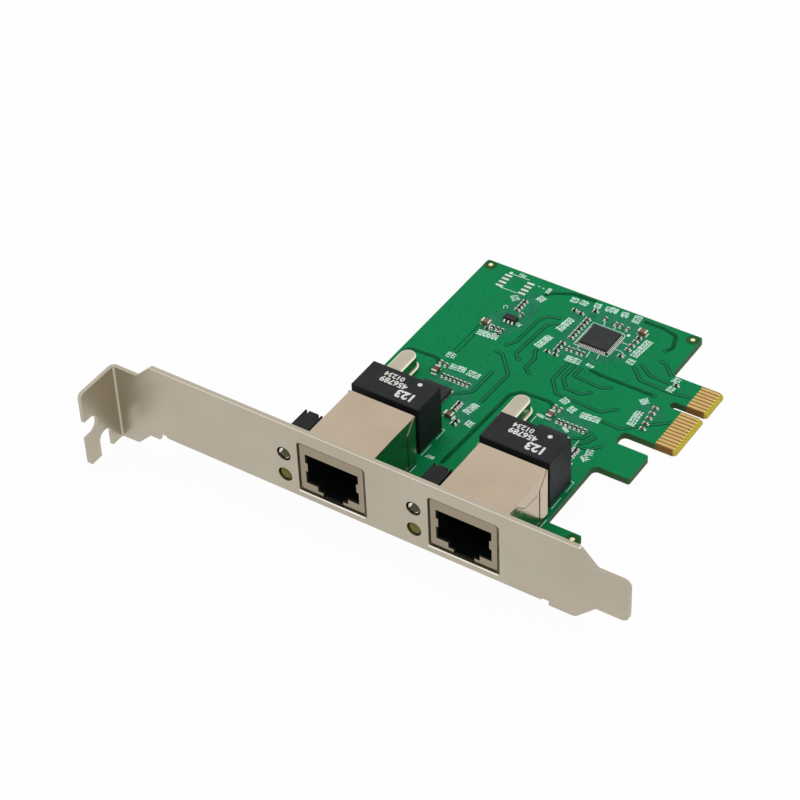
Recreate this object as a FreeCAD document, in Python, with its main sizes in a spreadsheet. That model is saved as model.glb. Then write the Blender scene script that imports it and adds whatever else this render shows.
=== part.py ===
import FreeCAD, Part
import math
import os
import re
import Sketcher

# A dual-port network interface card on a standard-height bracket.
# Origin: the centreline of the key notch, at the end of the edge fingers, at mid board thickness.
# +X is the direction of insertion, +Y runs from the bracket into the card, +Z is the component side.
# Lengths are millimetres and angles degrees.

SIZES = {
    # Circuit board, measured from the key notch
    "board_thick": 1.57,
    "board_across": 52.7,
    "board_run": 80.15,
    "board_gap": 0.44,
    "board_round": 0.5,
    "inner_round": 1.2,
    "key_to_face": 59.68,
    "finger_reach": 12.1,
    "finger_back": 12.15,
    "finger_front": 8.15,
    "key_wide": 1.9,
    "key_deep": 7.9,
    "key_flat": 0.1,
    "bevel_run": 0.9,
    "bevel_drop": 0.47,
    "ear_reach": 8.1,
    "ear_run": 15.9,
    "hook_reach": 7.95,
    "hook_run": 8.0,
    "latch_gap": 3.73,
    # Gold contacts on both faces of the fingers
    "contact_inset": 0.95,
    "contact_long": 3.9,
    "contact_wide": 0.7,
    "contact_pitch": 1.0,
    "contact_start": 1.5,
    "contacts_front": 7,
    "contacts_back": 11,
    "copper": 0.05,
    # Folded bracket
    "sheet": 0.86,
    "tab_to_finger": 104.2,
    "bracket_long": 120.02,
    "bracket_wide": 18.42,
    "tab_wide": 19.05,
    "tab_drop": 4.44,
    "tab_reach": 11.43,
    "tab_bend": 0.5,
    "tab_round": 1.2,
    "neck_run": 6.7,
    "heel_run": 4.8,
    "heel_rise": 3.82,
    "tooth_end": 11.0,
    "nick_wide": 1.9,
    "nick_high": 1.13,
    "flange_deep": 3.5,
    "flange_bend": 0.15,
    "tongue_long": 7.0,
    "tongue_wide": 10.19,
    "tongue_drop": 3.8,
    "tongue_round": 1.7,
    "edge_round": 0.8,
    "foot_round": 2.0,
    "slot_wide": 4.42,
    "slot_deep": 3.87,
    "slot_rise": 9.67,
    "slot_flat": 0.1,
    "notch_wide": 3.8,
    "notch_deep": 5.67,
    "notch_place": 5.0,
    "lug_wide": 8.0,
    "lug_deep": 10.5,
    "lug_round": 2.5,
    "lug_clear": 5.18,
    "lug_margin": 0.7,
    "lug_pitch": 29.7,
    "lug_hole_place": 7.0,
    # Screws through the board into the lugs
    "shank_round": 1.5,
    "shank_clear": 0.15,
    "screw_reach": 0.25,
    "screw_head": 2.8,
    "screw_head_high": 1.8,
    "screw_bevel": 0.7,
    "cross_wide": 0.7,
    "cross_long": 3.0,
    "cross_deep": 1.0,
    # Ports, measured from the centre of port 1, the bracket face and the board
    "port_place": 53.72,
    "port_pitch": 30.2,
    "port_recess": 0.4,
    "port_wide": 15.4,
    "port_deep": 18.0,
    "port_high": 12.2,
    "port_gap": 0.15,
    "port_wall": 0.25,
    "port_round": 0.5,
    "mouth_half": 6.22,
    "mouth_floor": 2.3,
    "mouth_top": 9.75,
    "mouth_tooth": 0.5,
    "tooth_low": 5.35,
    "tooth_top": 7.5,
    "latch_half": 3.55,
    "latch_floor": 1.1,
    "latch_slot_half": 2.35,
    "latch_slot_floor": 0.55,
    "rim": 0.25,
    "plug_deep": 12.6,
    "flap_thick": 0.12,
    "flap_start": 15.2,
    "flap_turn": 9.1,
    "flap_foot": 0.7,
    "foot_start": 6.0,
    "foot_long": 2.0,
    "post_round": 1.6,
    "post_clear": 0.05,
    "post_half_pitch": 5.715,
    "post_place": 10.2,
    "post_reach": 0.5,
    "window_wide": 15.95,
    "window_high": 12.65,
    "window_shift": 0.2,
    "window_round": 0.3,
    # Spring wires inside each port
    "wire_wide": 0.35,
    "wire_thick": 0.3,
    "wire_pitch": 1.02,
    "wires": 8,
    "wire_front": 1.6,
    "wire_knee": 3.6,
    "wire_end": 6.6,
    # Transformers behind the ports
    "trafo_place": 52.75,
    "trafo_pitch": 30.05,
    "trafo_start": 20.8,
    "trafo_long": 16.0,
    "trafo_deep": 8.3,
    "trafo_top": 11.6,
    "trafo_gap": 0.3,
    "trafo_foot": 0.55,
    "trafo_edge": 0.2,
    "trafo_pin": 0.5,
    "trafo_pin_pitch": 1.27,
    "trafo_pins": 12,
    "trafo_row_inset": 1.6,
    # Indicator lights and their holders
    "light_offset": 11.05,
    "holder_wide": 4.1,
    "holder_long": 9.8,
    "holder_high": 10.5,
    "holder_gap": 0.14,
    "upper_light": 7.95,
    "lower_light": 2.5,
    "lens_round": 1.5,
    "lens_hole_round": 1.65,
    "lens_seat": 4.0,
    "lens_recess": 0.2,
    "lens_bevel": 0.8,
    "lead_notch_wide": 0.6,
    "lead_notch_deep": 0.8,
    "lead_half_pitch": 1.4,
    "lead_thick": 0.45,
    "lead_high": 8.2,
    # Crystals
    "crystal_place_x": 44.2,
    "crystal_place_y": 38.65,
    "section_pitch": 27.47,
    "can_long": 10.2,
    "can_wide": 3.75,
    "can_top": 3.6,
    "can_bevel": 0.4,
    "brim": 0.45,
    "brim_thick": 0.45,
    "crystal_gap": 0.2,
    "crystal_pin": 0.45,
    "crystal_pin_pitch": 4.88,
    # Main chip
    "main_place_x": 74.05,
    "main_place_y": 69.8,
    "main_wide": 6.6,
    "main_over": 8.3,
    "main_top": 1.0,
    "main_gap": 0.1,
    "main_middle": 0.52,
    "main_draft": 8.0,
    "main_pitch": 0.4,
    "main_side": 16,
    "main_lead_wide": 0.18,
    "main_lead_thick": 0.13,
    "main_foot": 0.45,
    # Port chips
    "lan_place_x": 52.85,
    "lan_place_y": 36.85,
    "lan_wide": 6.5,
    "lan_top": 0.95,
    "lan_rim": 0.25,
    # Regulator
    "reg_place_x": 54.5,
    "reg_place_y": 65.9,
    "reg_long": 2.9,
    "reg_wide": 1.6,
    "reg_top": 1.1,
    "reg_gap": 0.1,
    "reg_over": 2.8,
    "reg_pitch": 0.95,
    "reg_side": 3,
    "reg_lead_wide": 0.4,
    "reg_lead_thick": 0.15,
    "reg_foot": 0.35,
    "reg_middle": 0.6,
    # Small two-ended parts
    "chip_long": 1.1,
    "chip_wide": 0.55,
    "chip_high": 0.42,
    "chip_end": 0.27,
    "block_long": 2.0,
    "block_wide": 1.25,
    "block_high": 0.95,
    "block_end": 0.4,
    # Bare pads and sighting marks
    "spare_long": 1.75,
    "spare_wide": 0.6,
    "spare_pitch": 1.27,
    "spare_side": 4,
    "spare_span": 5.6,
    "spare_place_x": 46.2,
    "spare_place_y": 74.9,
    "mark_round": 0.5,
    # Solder joints under the board
    "joint_round": 0.55,
    "joint_tip": 0.25,
    "joint_high": 0.85,
    "low_lead_place": 6.2,
    "low_lead_half_pitch": 1.27,
    "pin_row_near": 13.6,
    "pin_row_far": 16.1,
}

doc = FreeCAD.newDocument("network_card")
sheet = doc.addObject("Spreadsheet::Sheet", "Sizes")
for row, (alias, value) in enumerate(SIZES.items(), start=1):
    sheet.set("A%d" % row, alias)
    sheet.set("B%d" % row, str(value))
    sheet.setAlias("B%d" % row, alias)
doc.recompute()

nodes = []


def size(alias):
    """Value of one driving size."""
    return sheet.get(alias)


def linked(text):
    """Expression text with each size name pointed at the sheet."""
    return re.sub(r"[a-z_]+", lambda word: "Sizes." + word[0] if word[0] in SIZES else word[0], text)


def bind(item, target, text):
    """Tie one property of an object to an expression of the sizes."""
    item.setExpression(target, linked(text))


def place(item, where):
    """Place an object at three expressions of the sizes."""
    for axis, text in zip("xyz", where):
        bind(item, "Placement.Base." + axis, text)


def new_body(name, where=("0", "0", "0")):
    """An empty body with its own place."""
    body = doc.addObject("PartDesign::Body", name)
    body.Label = name
    place(body, where)
    nodes.append(body)
    return body


def origin_item(body, role):
    """One plane or axis of a body's own origin."""
    return next(item for item in body.Origin.OriginFeatures if item.Role == role)


def profile(body, plane, outlines=(), circles=(), lift="0"):
    """A sketch of closed outlines and circles on a plane, with every corner bound to sizes."""
    sketch = body.newObject("Sketcher::SketchObject", body.Name + "_profile")
    sketch.AttachmentSupport = (origin_item(body, plane), "")
    sketch.MapMode = "FlatFace"
    bind(sketch, "AttachmentOffset.Base.z", lift)
    for outline in outlines:
        add_outline(sketch, outline)
    for across, up, radius in circles:
        add_circle(sketch, across, up, radius)
    return sketch


def add_outline(sketch, outline):
    """Close a chain of lines and bind each corner to its first two expressions."""
    first = sketch.GeometryCount
    total = len(outline)
    start = FreeCAD.Vector(1, 0, 0)
    turn = FreeCAD.Rotation(FreeCAD.Vector(0, 0, 1), 360.0 / total)
    for _ in range(total):
        end = turn.multVec(start)
        sketch.addGeometry(Part.LineSegment(start, end), False)
        start = end
    for number in range(total):
        following = (number + 1) % total
        sketch.addConstraint(Sketcher.Constraint("Coincident", first + number, 2, first + following, 1))
    for number, corner in enumerate(outline):
        bind_point(sketch, first + number, 1, corner[0], corner[1])


def add_circle(sketch, across, up, radius):
    """A circle whose centre and radius are bound to sizes."""
    number = sketch.addGeometry(Part.Circle(FreeCAD.Vector(1, 1, 0), FreeCAD.Vector(0, 0, 1), 1), False)
    bind_point(sketch, number, 3, across, up)
    index = sketch.addConstraint(Sketcher.Constraint("Radius", number, 1.0))
    bind(sketch, "Constraints[%d]" % index, radius)


def add_round_ended(sketch, long, wide, margin=None):
    """A slot shape along the sketch's second axis, larger than two named sizes by a margin all round."""
    radius = size(wide) / 2
    radius_text = wide + " / 2"
    if margin:
        radius += size(margin)
        radius_text += " + " + margin
    up = FreeCAD.Vector(0, 0, 1)
    centre = FreeCAD.Vector(0, (size(long) - size(wide)) / 2, 0)
    side = FreeCAD.Vector(radius, 0, 0)
    far = Part.ArcOfCircle(Part.Circle(centre, up, radius), 0, math.pi)
    near = Part.ArcOfCircle(Part.Circle(-centre, up, radius), math.pi, 2 * math.pi)
    left = Part.LineSegment(centre - side, -centre - side)
    right = Part.LineSegment(-centre + side, centre + side)
    chain = [sketch.addGeometry(piece, False) for piece in (far, left, near, right)]
    for number, following in zip(chain, chain[1:] + chain[:1]):
        sketch.addConstraint(Sketcher.Constraint("Tangent", number, 2, following, 1))
    sketch.addConstraint(Sketcher.Constraint("Equal", chain[0], chain[2]))
    index = sketch.addConstraint(Sketcher.Constraint("Radius", chain[0], radius))
    bind(sketch, "Constraints[%d]" % index, radius_text)
    half_run = "(%s - %s) / 2" % (long, wide)
    bind_point(sketch, chain[0], 3, "0", half_run)
    bind_point(sketch, chain[2], 3, "0", "-" + half_run)


def bind_point(sketch, number, end, across, up):
    """Hold one point of a sketch at two expressions from its origin."""
    point = sketch.getPoint(number, end)
    for kind, text, drawn in (("DistanceX", across, point.x), ("DistanceY", up, point.y)):
        index = sketch.addConstraint(Sketcher.Constraint(kind, -1, 1, number, end, drawn))
        bind(sketch, "Constraints[%d]" % index, text)


def pad(body, sketch, length, backward=False, draft=None):
    """Raise a sketch by a length, with an optional draft angle."""
    feature = body.newObject("PartDesign::Pad", body.Name + "_pad")
    feature.Profile = sketch
    feature.Reversed = backward
    bind(feature, "Length", length)
    if draft:
        bind(feature, "TaperAngle", draft)
    body.Tip = feature
    doc.recompute()
    return feature


def pocket(body, sketch, length=None, backward=False):
    """Cut a sketch into the body, to a depth or right through both ways."""
    feature = body.newObject("PartDesign::Pocket", body.Name + "_pocket")
    feature.Profile = sketch
    feature.Reversed = backward
    if length:
        bind(feature, "Length", length)
    else:
        feature.Type = "ThroughAll"
        feature.Midplane = True
    before = body.Shape.Volume
    body.Tip = feature
    doc.recompute()
    if body.Shape.Volume > before - 1e-6:
        raise ValueError("a pocket of %s cuts nothing" % body.Name)
    return feature


def revolve(body, sketch):
    """Turn a sketch once round the body's upright axis."""
    feature = body.newObject("PartDesign::Revolution", body.Name + "_turned")
    feature.Profile = sketch
    feature.ReferenceAxis = (origin_item(body, "Z_Axis"), [""])
    feature.Angle = 360
    body.Tip = feature
    doc.recompute()
    return feature


def row_of(body, features, axis, length, count, backward=False):
    """Repeat features in a straight row."""
    pattern = body.newObject("PartDesign::LinearPattern", body.Name + "_row")
    pattern.Originals = features
    pattern.Direction = (origin_item(body, axis), [""])
    pattern.Reversed = backward
    bind(pattern, "Length", length)
    bind(pattern, "Occurrences", count)
    body.Tip = pattern
    doc.recompute()
    return pattern


def ring_of_rows(body, feature, axis, length, count, sides):
    """Repeat a feature in a straight row, and the row round the upright axis."""
    both = body.newObject("PartDesign::MultiTransform", body.Name + "_rows")
    both.Originals = [feature]
    row = body.newObject("PartDesign::LinearPattern", body.Name + "_row")
    row.Direction = (origin_item(body, axis), [""])
    bind(row, "Length", length)
    bind(row, "Occurrences", count)
    ring = body.newObject("PartDesign::PolarPattern", body.Name + "_ring")
    ring.Axis = (origin_item(body, "Z_Axis"), [""])
    ring.Angle = 360
    ring.Occurrences = sides
    both.Transformations = [row, ring]
    body.Tip = both
    doc.recompute()
    return both


def corner_edges(feature, sketch, corners):
    """Names of the straight edges that stand on the given corners of a sketch."""
    names = []
    frame = sketch.Placement
    normal = frame.Rotation.multVec(FreeCAD.Vector(0, 0, 1))
    for corner in corners:
        point = frame.multVec(sketch.getPoint(corner, 1))
        for number, edge in enumerate(feature.Shape.Edges, start=1):
            if on_line(edge, point, normal):
                names.append("Edge%d" % number)
    return names


def on_line(edge, point, direction):
    """Whether a straight edge lies on the line through a point."""
    if edge.Curve.TypeId != "Part::GeomLine":
        return False
    ends = [vertex.Point for vertex in edge.Vertexes]
    return all(end.distanceToLine(point, direction) < 1e-4 for end in ends)


def level_edges(feature, test):
    """Names of the edges whose middle point passes a test."""
    names = []
    for number, edge in enumerate(feature.Shape.Edges, start=1):
        middle = edge.valueAt((edge.FirstParameter + edge.LastParameter) / 2)
        if test(edge, middle):
            names.append("Edge%d" % number)
    return names


def soften(body, edges, amount, kind="Fillet"):
    """Round or chamfer named edges of the last feature."""
    if not edges:
        raise ValueError("no edge of %s to soften" % body.Name)
    base = body.Tip
    feature = body.newObject("PartDesign::" + kind, body.Name + "_" + kind.lower())
    feature.Base = (base, edges)
    bind(feature, "Radius" if kind == "Fillet" else "Size", amount)
    body.Tip = feature
    doc.recompute()
    return feature


def round_marked(body, sketch, outlines):
    """Round the edges that stand on the corners that name a radius, one radius at a time."""
    corners = [corner for outline in outlines for corner in outline]
    radii = dict.fromkeys(corner[2] for corner in corners if len(corner) > 2)
    for radius in radii:
        chosen = [number for number, corner in enumerate(corners) if corner[2:] == (radius,)]
        soften(body, corner_edges(body.Tip, sketch, chosen), radius)


def box_outline(left, low, right, high):
    """Corners of a rectangle."""
    return [(left, low), (right, low), (right, high), (left, high)]


# Places shared by several pieces
BOARD_TOP = "board_thick / 2"
FRONT_EDGE = "-(key_to_face - sheet - board_gap)"
SIDE_EDGE = "-finger_reach"
LEFT_EDGE = "-(finger_reach + board_across)"

# Distances along the bracket from the tab's outer face
TONGUE_ROOT = "(bracket_long - tongue_long)"
TONGUE_LOW = "(bracket_wide - tongue_drop - tongue_wide)"
FLANGE_START = "(tooth_end + nick_wide)"
FIRST_LUG = "(port_place + port_wide / 2 + lug_clear)"
LUG_PLACES = [FIRST_LUG, "(%s + lug_pitch)" % FIRST_LUG]
FLANGE_END = "(%s + lug_wide / 2 + lug_margin)" % LUG_PLACES[1]


def along(text):
    """Place along the card, from a distance to the outer face of the bracket's tab."""
    return "%s - tab_to_finger" % text


def inward(text):
    """Place into the card, from a distance to the bracket's outer face."""
    return "%s - key_to_face" % text


def circuit_board():
    """The board: fingers with a key notch, a latch hook, an ear at the bracket and its holes."""
    body = new_body("circuit_board")
    hook_near = "-(finger_back + latch_gap + hook_run)"
    hook_far = "-(finger_back + latch_gap)"
    far_edge = FRONT_EDGE + " + board_run"
    ear_edge = SIDE_EDGE + " + ear_reach"
    hook_edge = SIDE_EDGE + " + hook_reach"
    key_round = "key_wide / 2 - key_flat"
    outline = [
        (LEFT_EDGE, FRONT_EDGE, "board_round"), (ear_edge, FRONT_EDGE, "board_round"),
        (ear_edge, FRONT_EDGE + " + ear_run", "board_round"),
        (SIDE_EDGE, FRONT_EDGE + " + ear_run", "inner_round"),
        (SIDE_EDGE, hook_near, "inner_round"), (hook_edge, hook_near, "board_round"),
        (hook_edge, hook_far, "board_round"), (SIDE_EDGE, hook_far, "inner_round"),
        (SIDE_EDGE, "-finger_back", "inner_round"), ("0", "-finger_back", "board_round"),
        ("0", "-key_wide / 2"), ("-key_deep", "-key_wide / 2", key_round),
        ("-key_deep", "key_wide / 2", key_round), ("0", "key_wide / 2"),
        ("0", "finger_front", "board_round"), (SIDE_EDGE, "finger_front", "inner_round"),
        (SIDE_EDGE, far_edge, "board_round"), (LEFT_EDGE, far_edge, "board_round"),
    ]
    sketch = profile(body, "XY_Plane", [outline], board_holes(), lift="-board_thick / 2")
    pad(body, sketch, "board_thick")
    round_marked(body, sketch, [outline])
    upper = [("-bevel_run", BOARD_TOP), ("bevel_run / 2", BOARD_TOP),
             ("bevel_run / 2", BOARD_TOP + " - bevel_drop * 1.5")]
    lower = [(across, "-(%s)" % up) for across, up in upper]
    pocket(body, profile(body, "XZ_Plane", [upper, lower]))


def board_holes():
    """Holes for the bracket screws and for the posts of the ports."""
    holes = []
    for lug in LUG_PLACES:
        holes.append((along(lug), inward("lug_hole_place"), "shank_round + shank_clear"))
    for number in range(2):
        for side in ("-", "+"):
            across = along("port_place + port_pitch * %d %s post_half_pitch" % (number, side))
            holes.append((across, inward("port_recess + post_place"), "post_round + post_clear"))
    return holes


def edge_contacts(name, lift):
    """Gold contacts of one face, in two rows that start either side of the key notch."""
    body = new_body(name)
    left = "-(contact_inset + contact_long)"
    for sign, count in (("", "contacts_front"), ("-", "contacts_back")):
        low = sign + "contact_start - contact_wide / 2"
        high = sign + "contact_start + contact_wide / 2"
        sketch = profile(body, "XY_Plane", [box_outline(left, low, "-contact_inset", high)], lift=lift)
        first = pad(body, sketch, "copper")
        row_of(body, [first], "Y_Axis", "contact_pitch * (%s - 1)" % count, count, backward=sign == "-")


def bracket():
    """The folded bracket: plate with windows, slotted tab, tongue, and a flange with two lugs."""
    body = new_body("bracket", ("-tab_to_finger", "-key_to_face", "-(board_thick / 2 + sheet)"))
    panels = [bracket_plate(body), bracket_tab(body), bracket_flange(body)]
    bracket_bends(body)
    for sketch, outlines in panels:
        round_marked(body, sketch, outlines)


def bracket_plate(body):
    """The plate between tab and tongue, seen from the front."""
    neck_top = "tab_wide - tab_drop"
    heel = "heel_run + heel_rise"
    tongue_top = "bracket_wide - tongue_drop"
    outline = [
        ("0", "-tab_drop"), ("0", neck_top), ("neck_run", neck_top),
        ("neck_run + bracket_wide - (%s)" % neck_top, "bracket_wide", "edge_round"),
        (TONGUE_ROOT + " - tongue_drop", "bracket_wide", "edge_round"),
        (TONGUE_ROOT, tongue_top, "edge_round"),
        ("bracket_long", tongue_top, "tongue_round"), ("bracket_long", TONGUE_LOW, "tongue_round"),
        (TONGUE_ROOT, TONGUE_LOW, "edge_round"), ("%s - %s" % (TONGUE_ROOT, TONGUE_LOW), "0", "foot_round"),
        (FLANGE_END + " + nick_wide", "0"), (FLANGE_END + " + nick_wide", "nick_high"),
        (FLANGE_END, "nick_high"), (FLANGE_END, "0"), (FLANGE_START, "0"),
        (FLANGE_START, "nick_high"), ("tooth_end", "nick_high"),
        ("tooth_end", "heel_rise - tab_drop"), (heel, "heel_rise - tab_drop"), ("heel_run", "-tab_drop"),
    ]
    windows = []
    holes = []
    board = "sheet + board_thick"
    for number in range(2):
        middle = "port_place + port_pitch * %d" % number
        left = middle + " + window_shift - window_wide / 2"
        right = middle + " + window_shift + window_wide / 2"
        head = board + " + window_high"
        windows.append([(left, board, "window_round"), (right, board, "window_round"),
                        (right, head, "edge_round"), (left, head, "edge_round")])
        for light in ("upper_light", "lower_light"):
            holes.append((middle + " - light_offset", board + " + " + light, "lens_hole_round"))
    outlines = [outline] + windows
    sketch = profile(body, "XZ_Plane", outlines, holes, lift="-sheet")
    pad(body, sketch, "sheet")
    return sketch, outlines


def bracket_tab(body):
    """The tab bent outwards, with an open screw slot at its end and a notch in its lower edge."""
    low = "-tab_drop"
    high = "tab_wide - tab_drop"
    end = "sheet - tab_reach"
    slot_end = end + " + slot_deep"
    notch_top = low + " + notch_deep"
    slot_high = "slot_rise - tab_drop + slot_wide / 2"
    slot_low = "slot_rise - tab_drop - slot_wide / 2"
    slot_round = "slot_wide / 2 - slot_flat"
    notch_round = "notch_wide / 2 - slot_flat"
    notch_near = "-notch_place + notch_wide / 2"
    notch_far = "-notch_place - notch_wide / 2"
    outline = [
        ("sheet", high), (end, high, "tab_round"), (end, slot_high), (slot_end, slot_high, slot_round),
        (slot_end, slot_low, slot_round), (end, slot_low), (end, low, "tab_round"), (notch_far, low),
        (notch_far, notch_top, notch_round), (notch_near, notch_top, notch_round),
        (notch_near, low), ("sheet", low),
    ]
    sketch = profile(body, "YZ_Plane", [outline])
    pad(body, sketch, "sheet")
    return sketch, [outline]


def bracket_flange(body):
    """The flange folded in under the board, with a lug for each screw."""
    outline = [(FLANGE_START, "0"), (FLANGE_START, "flange_deep")]
    holes = []
    for middle in LUG_PLACES:
        left = middle + " - lug_wide / 2"
        right = middle + " + lug_wide / 2"
        outline += [(left, "flange_deep"), (left, "lug_deep", "lug_round"),
                    (right, "lug_deep", "lug_round"), (right, "flange_deep")]
        holes.append((middle, "lug_hole_place", "shank_round"))
    outline += [(FLANGE_END, "flange_deep"), (FLANGE_END, "0")]
    sketch = profile(body, "XY_Plane", [outline], holes)
    pad(body, sketch, "sheet")
    return sketch, [outline]


def bracket_bends(body):
    """Rounds inside and outside both folds."""
    thick = size("sheet")

    def upright(edge, place_x, place_y):
        start = FreeCAD.Vector(place_x, place_y, 0)
        return on_line(edge, start, FreeCAD.Vector(0, 0, 1))

    def lengthwise(edge, place_y, place_z):
        start = FreeCAD.Vector(0, place_y, place_z)
        return on_line(edge, start, FreeCAD.Vector(1, 0, 0)) and edge.Length > size("lug_wide")

    soften(body, level_edges(body.Tip, lambda edge, middle: upright(edge, thick, 0)), "tab_bend")
    soften(body, level_edges(body.Tip, lambda edge, middle: upright(edge, 0, thick)), "tab_bend + sheet")
    soften(body, level_edges(body.Tip, lambda edge, middle: lengthwise(edge, thick, thick)), "flange_bend")
    soften(body, level_edges(body.Tip, lambda edge, middle: lengthwise(edge, 0, 0)), "flange_bend + sheet")


def bracket_screws():
    """Two pan-head screws with cross recesses, driven from the component side."""
    body = new_body("bracket_screws", (along(LUG_PLACES[0]), inward("lug_hole_place"), BOARD_TOP))
    tip = "-(board_thick + sheet + screw_reach)"
    outline = [("0", tip), ("shank_round", tip), ("shank_round", "0"), ("screw_head", "0"),
               ("screw_head", "screw_head_high"), ("0", "screw_head_high")]
    revolve(body, profile(body, "XZ_Plane", [outline]))
    top = size("screw_head_high")
    soften(body, level_edges(body.Tip, lambda edge, middle: middle.z > top - 1e-4), "screw_bevel", "Chamfer")
    floor = "screw_head_high - cross_deep"
    for half_across, half_up in (("cross_long / 2", "cross_wide / 2"), ("cross_wide / 2", "cross_long / 2")):
        arm = box_outline("-" + half_across, "-" + half_up, half_across, half_up)
        pocket(body, profile(body, "XY_Plane", [arm], lift=floor), "cross_deep", backward=True)
    pattern = row_of(body, [], "X_Axis", "lug_pitch", "2")
    pattern.TransformMode = "Whole shape"
    doc.recompute()


def port_place(number):
    """Middle of a port at its front face, on the board."""
    return (along("port_place + port_pitch * %d" % number), inward("port_recess"), BOARD_TOP)


def port_shield(number):
    """Drawn metal shell: mouth in front, open below, a lapped flap and a foot on each side."""
    body = new_body("port_%d_shield" % (number + 1), port_place(number))
    outer = box_outline("-port_wide / 2", "0", "port_wide / 2", "port_deep")
    pad(body, profile(body, "XY_Plane", [outer], lift="port_gap"), "port_high")
    top = size("port_gap") + size("port_high") - 1e-4
    wide = size("port_wide")
    soften(body, level_edges(body.Tip, lambda edge, middle: middle.z > top and edge.Length > wide), "port_round")
    inner = box_outline("-port_wide / 2 + port_wall", "port_wall",
                        "port_wide / 2 - port_wall", "port_deep - port_wall")
    pocket(body, profile(body, "XY_Plane", [inner], lift="port_gap"), "port_high - port_wall", backward=True)
    pocket(body, profile(body, "XZ_Plane", [shield_mouth()]), "port_wall")
    low = "port_gap + flap_foot"
    flap = [("flap_start", low), ("port_deep", low), ("port_deep", "port_gap + port_high"),
            ("flap_start", "flap_turn")]
    pad(body, profile(body, "YZ_Plane", [flap], lift="port_wide / 2"), "flap_thick")
    pad(body, profile(body, "YZ_Plane", [flap], lift="-port_wide / 2"), "flap_thick", backward=True)
    feet = [
        box_outline("port_wide / 2 - port_wall", "foot_start", "port_wide / 2", "foot_start + foot_long"),
        box_outline("-port_wide / 2", "foot_start", "-port_wide / 2 + port_wall", "foot_start + foot_long"),
    ]
    pad(body, profile(body, "XY_Plane", feet), "port_gap")


def mirrored(half):
    """A closed outline from its right half, which runs from the top to the bottom."""
    return half + [("-(%s)" % across, up) for across, up in reversed(half)]


def shield_mouth():
    """Opening for the plug with a tooth at each side and steps for the plug's latch."""
    tooth = "mouth_half - mouth_tooth"
    return mirrored([
        ("mouth_half", "mouth_top"), ("mouth_half", "tooth_top"), (tooth, "tooth_top"), (tooth, "tooth_low"),
        ("mouth_half", "tooth_low"), ("mouth_half", "mouth_floor"), ("latch_half", "mouth_floor"),
        ("latch_half", "latch_floor"), ("latch_slot_half", "latch_floor"), ("latch_slot_half", "0"),
    ])


def port_housing(number):
    """Moulded insert that fills the shell, with the plug's cavity and two posts into the board."""
    body = new_body("port_%d_housing" % (number + 1), port_place(number))
    outer = box_outline("-port_wide / 2 + port_wall", "port_wall",
                        "port_wide / 2 - port_wall", "port_deep - port_wall")
    pad(body, profile(body, "XY_Plane", [outer], lift="port_gap"), "port_high - port_wall")
    posts = [(across, "post_place", "post_round") for across in ("-post_half_pitch", "post_half_pitch")]
    reach = "port_gap + board_thick + post_reach"
    pad(body, profile(body, "XY_Plane", circles=posts, lift="port_gap"), reach, backward=True)
    cavity = mirrored([
        ("mouth_half - rim", "mouth_top - rim"), ("mouth_half - rim", "mouth_floor + rim"),
        ("latch_half - rim", "mouth_floor + rim"), ("latch_half - rim", "latch_floor + rim"),
        ("latch_slot_half - rim", "latch_floor + rim"), ("latch_slot_half - rim", "latch_slot_floor"),
    ])
    pocket(body, profile(body, "XZ_Plane", [cavity], lift="-port_wall"), "plug_deep")


def port_contacts(number):
    """Spring wires that run back under the cavity's ceiling and down to its end wall."""
    body = new_body("port_%d_contacts" % (number + 1), port_place(number))
    ceiling = "mouth_top - rim"
    front = "port_wall + wire_front"
    knee = "port_wall + wire_knee"
    back = "port_wall + plug_deep"
    outline = [
        (front, ceiling), (front, ceiling + " - wire_thick"), (knee, ceiling + " - wire_thick"),
        (back, "wire_end - wire_thick"), (back, "wire_end"), (knee, ceiling),
    ]
    lift = "-wire_pitch * (wires - 1) / 2 - wire_wide / 2"
    wire = pad(body, profile(body, "YZ_Plane", [outline], lift=lift), "wire_wide")
    row_of(body, [wire], "X_Axis", "wire_pitch * (wires - 1)", "wires")


def transformer_place(number):
    """Middle of a transformer at its front face, on the board."""
    return (along("trafo_place + trafo_pitch * %d" % number), inward("trafo_start"), BOARD_TOP)


def transformer_case(number):
    """Potted case on four corner feet, with eased upper edges."""
    body = new_body("transformer_%d_case" % (number + 1), transformer_place(number))
    half = "trafo_long / 2"
    outer = box_outline("-" + half, "0", half, "trafo_deep")
    pad(body, profile(body, "XY_Plane", [outer], lift="trafo_gap"), "trafo_top - trafo_gap")
    top = size("trafo_top")
    soften(body, level_edges(body.Tip, lambda edge, middle: middle.z > top - 1e-4), "trafo_edge")
    feet = []
    for left, right in (("-" + half, "-%s + trafo_foot" % half), (half + " - trafo_foot", half)):
        feet.append(box_outline(left, "0", right, "trafo_foot"))
        feet.append(box_outline(left, "trafo_deep - trafo_foot", right, "trafo_deep"))
    pad(body, profile(body, "XY_Plane", feet), "trafo_gap")


def transformer_pins(number):
    """Two rows of pins between the case and the board."""
    body = new_body("transformer_%d_pins" % (number + 1), transformer_place(number))
    first = "-trafo_pin_pitch * (trafo_pins - 1) / 2"
    rows = []
    for across in ("trafo_row_inset", "trafo_deep - trafo_row_inset"):
        rows.append(box_outline(first + " - trafo_pin / 2", across + " - trafo_pin / 2",
                                first + " + trafo_pin / 2", across + " + trafo_pin / 2"))
    pins = pad(body, profile(body, "XY_Plane", rows), "trafo_gap")
    row_of(body, [pins], "X_Axis", "trafo_pin_pitch * (trafo_pins - 1)", "trafo_pins")


def light_place(number):
    """Middle of a light holder at its front face, on the board."""
    middle = "port_place + port_pitch * %d - light_offset" % number
    return (along(middle), inward("sheet + holder_gap"), BOARD_TOP)


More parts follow.
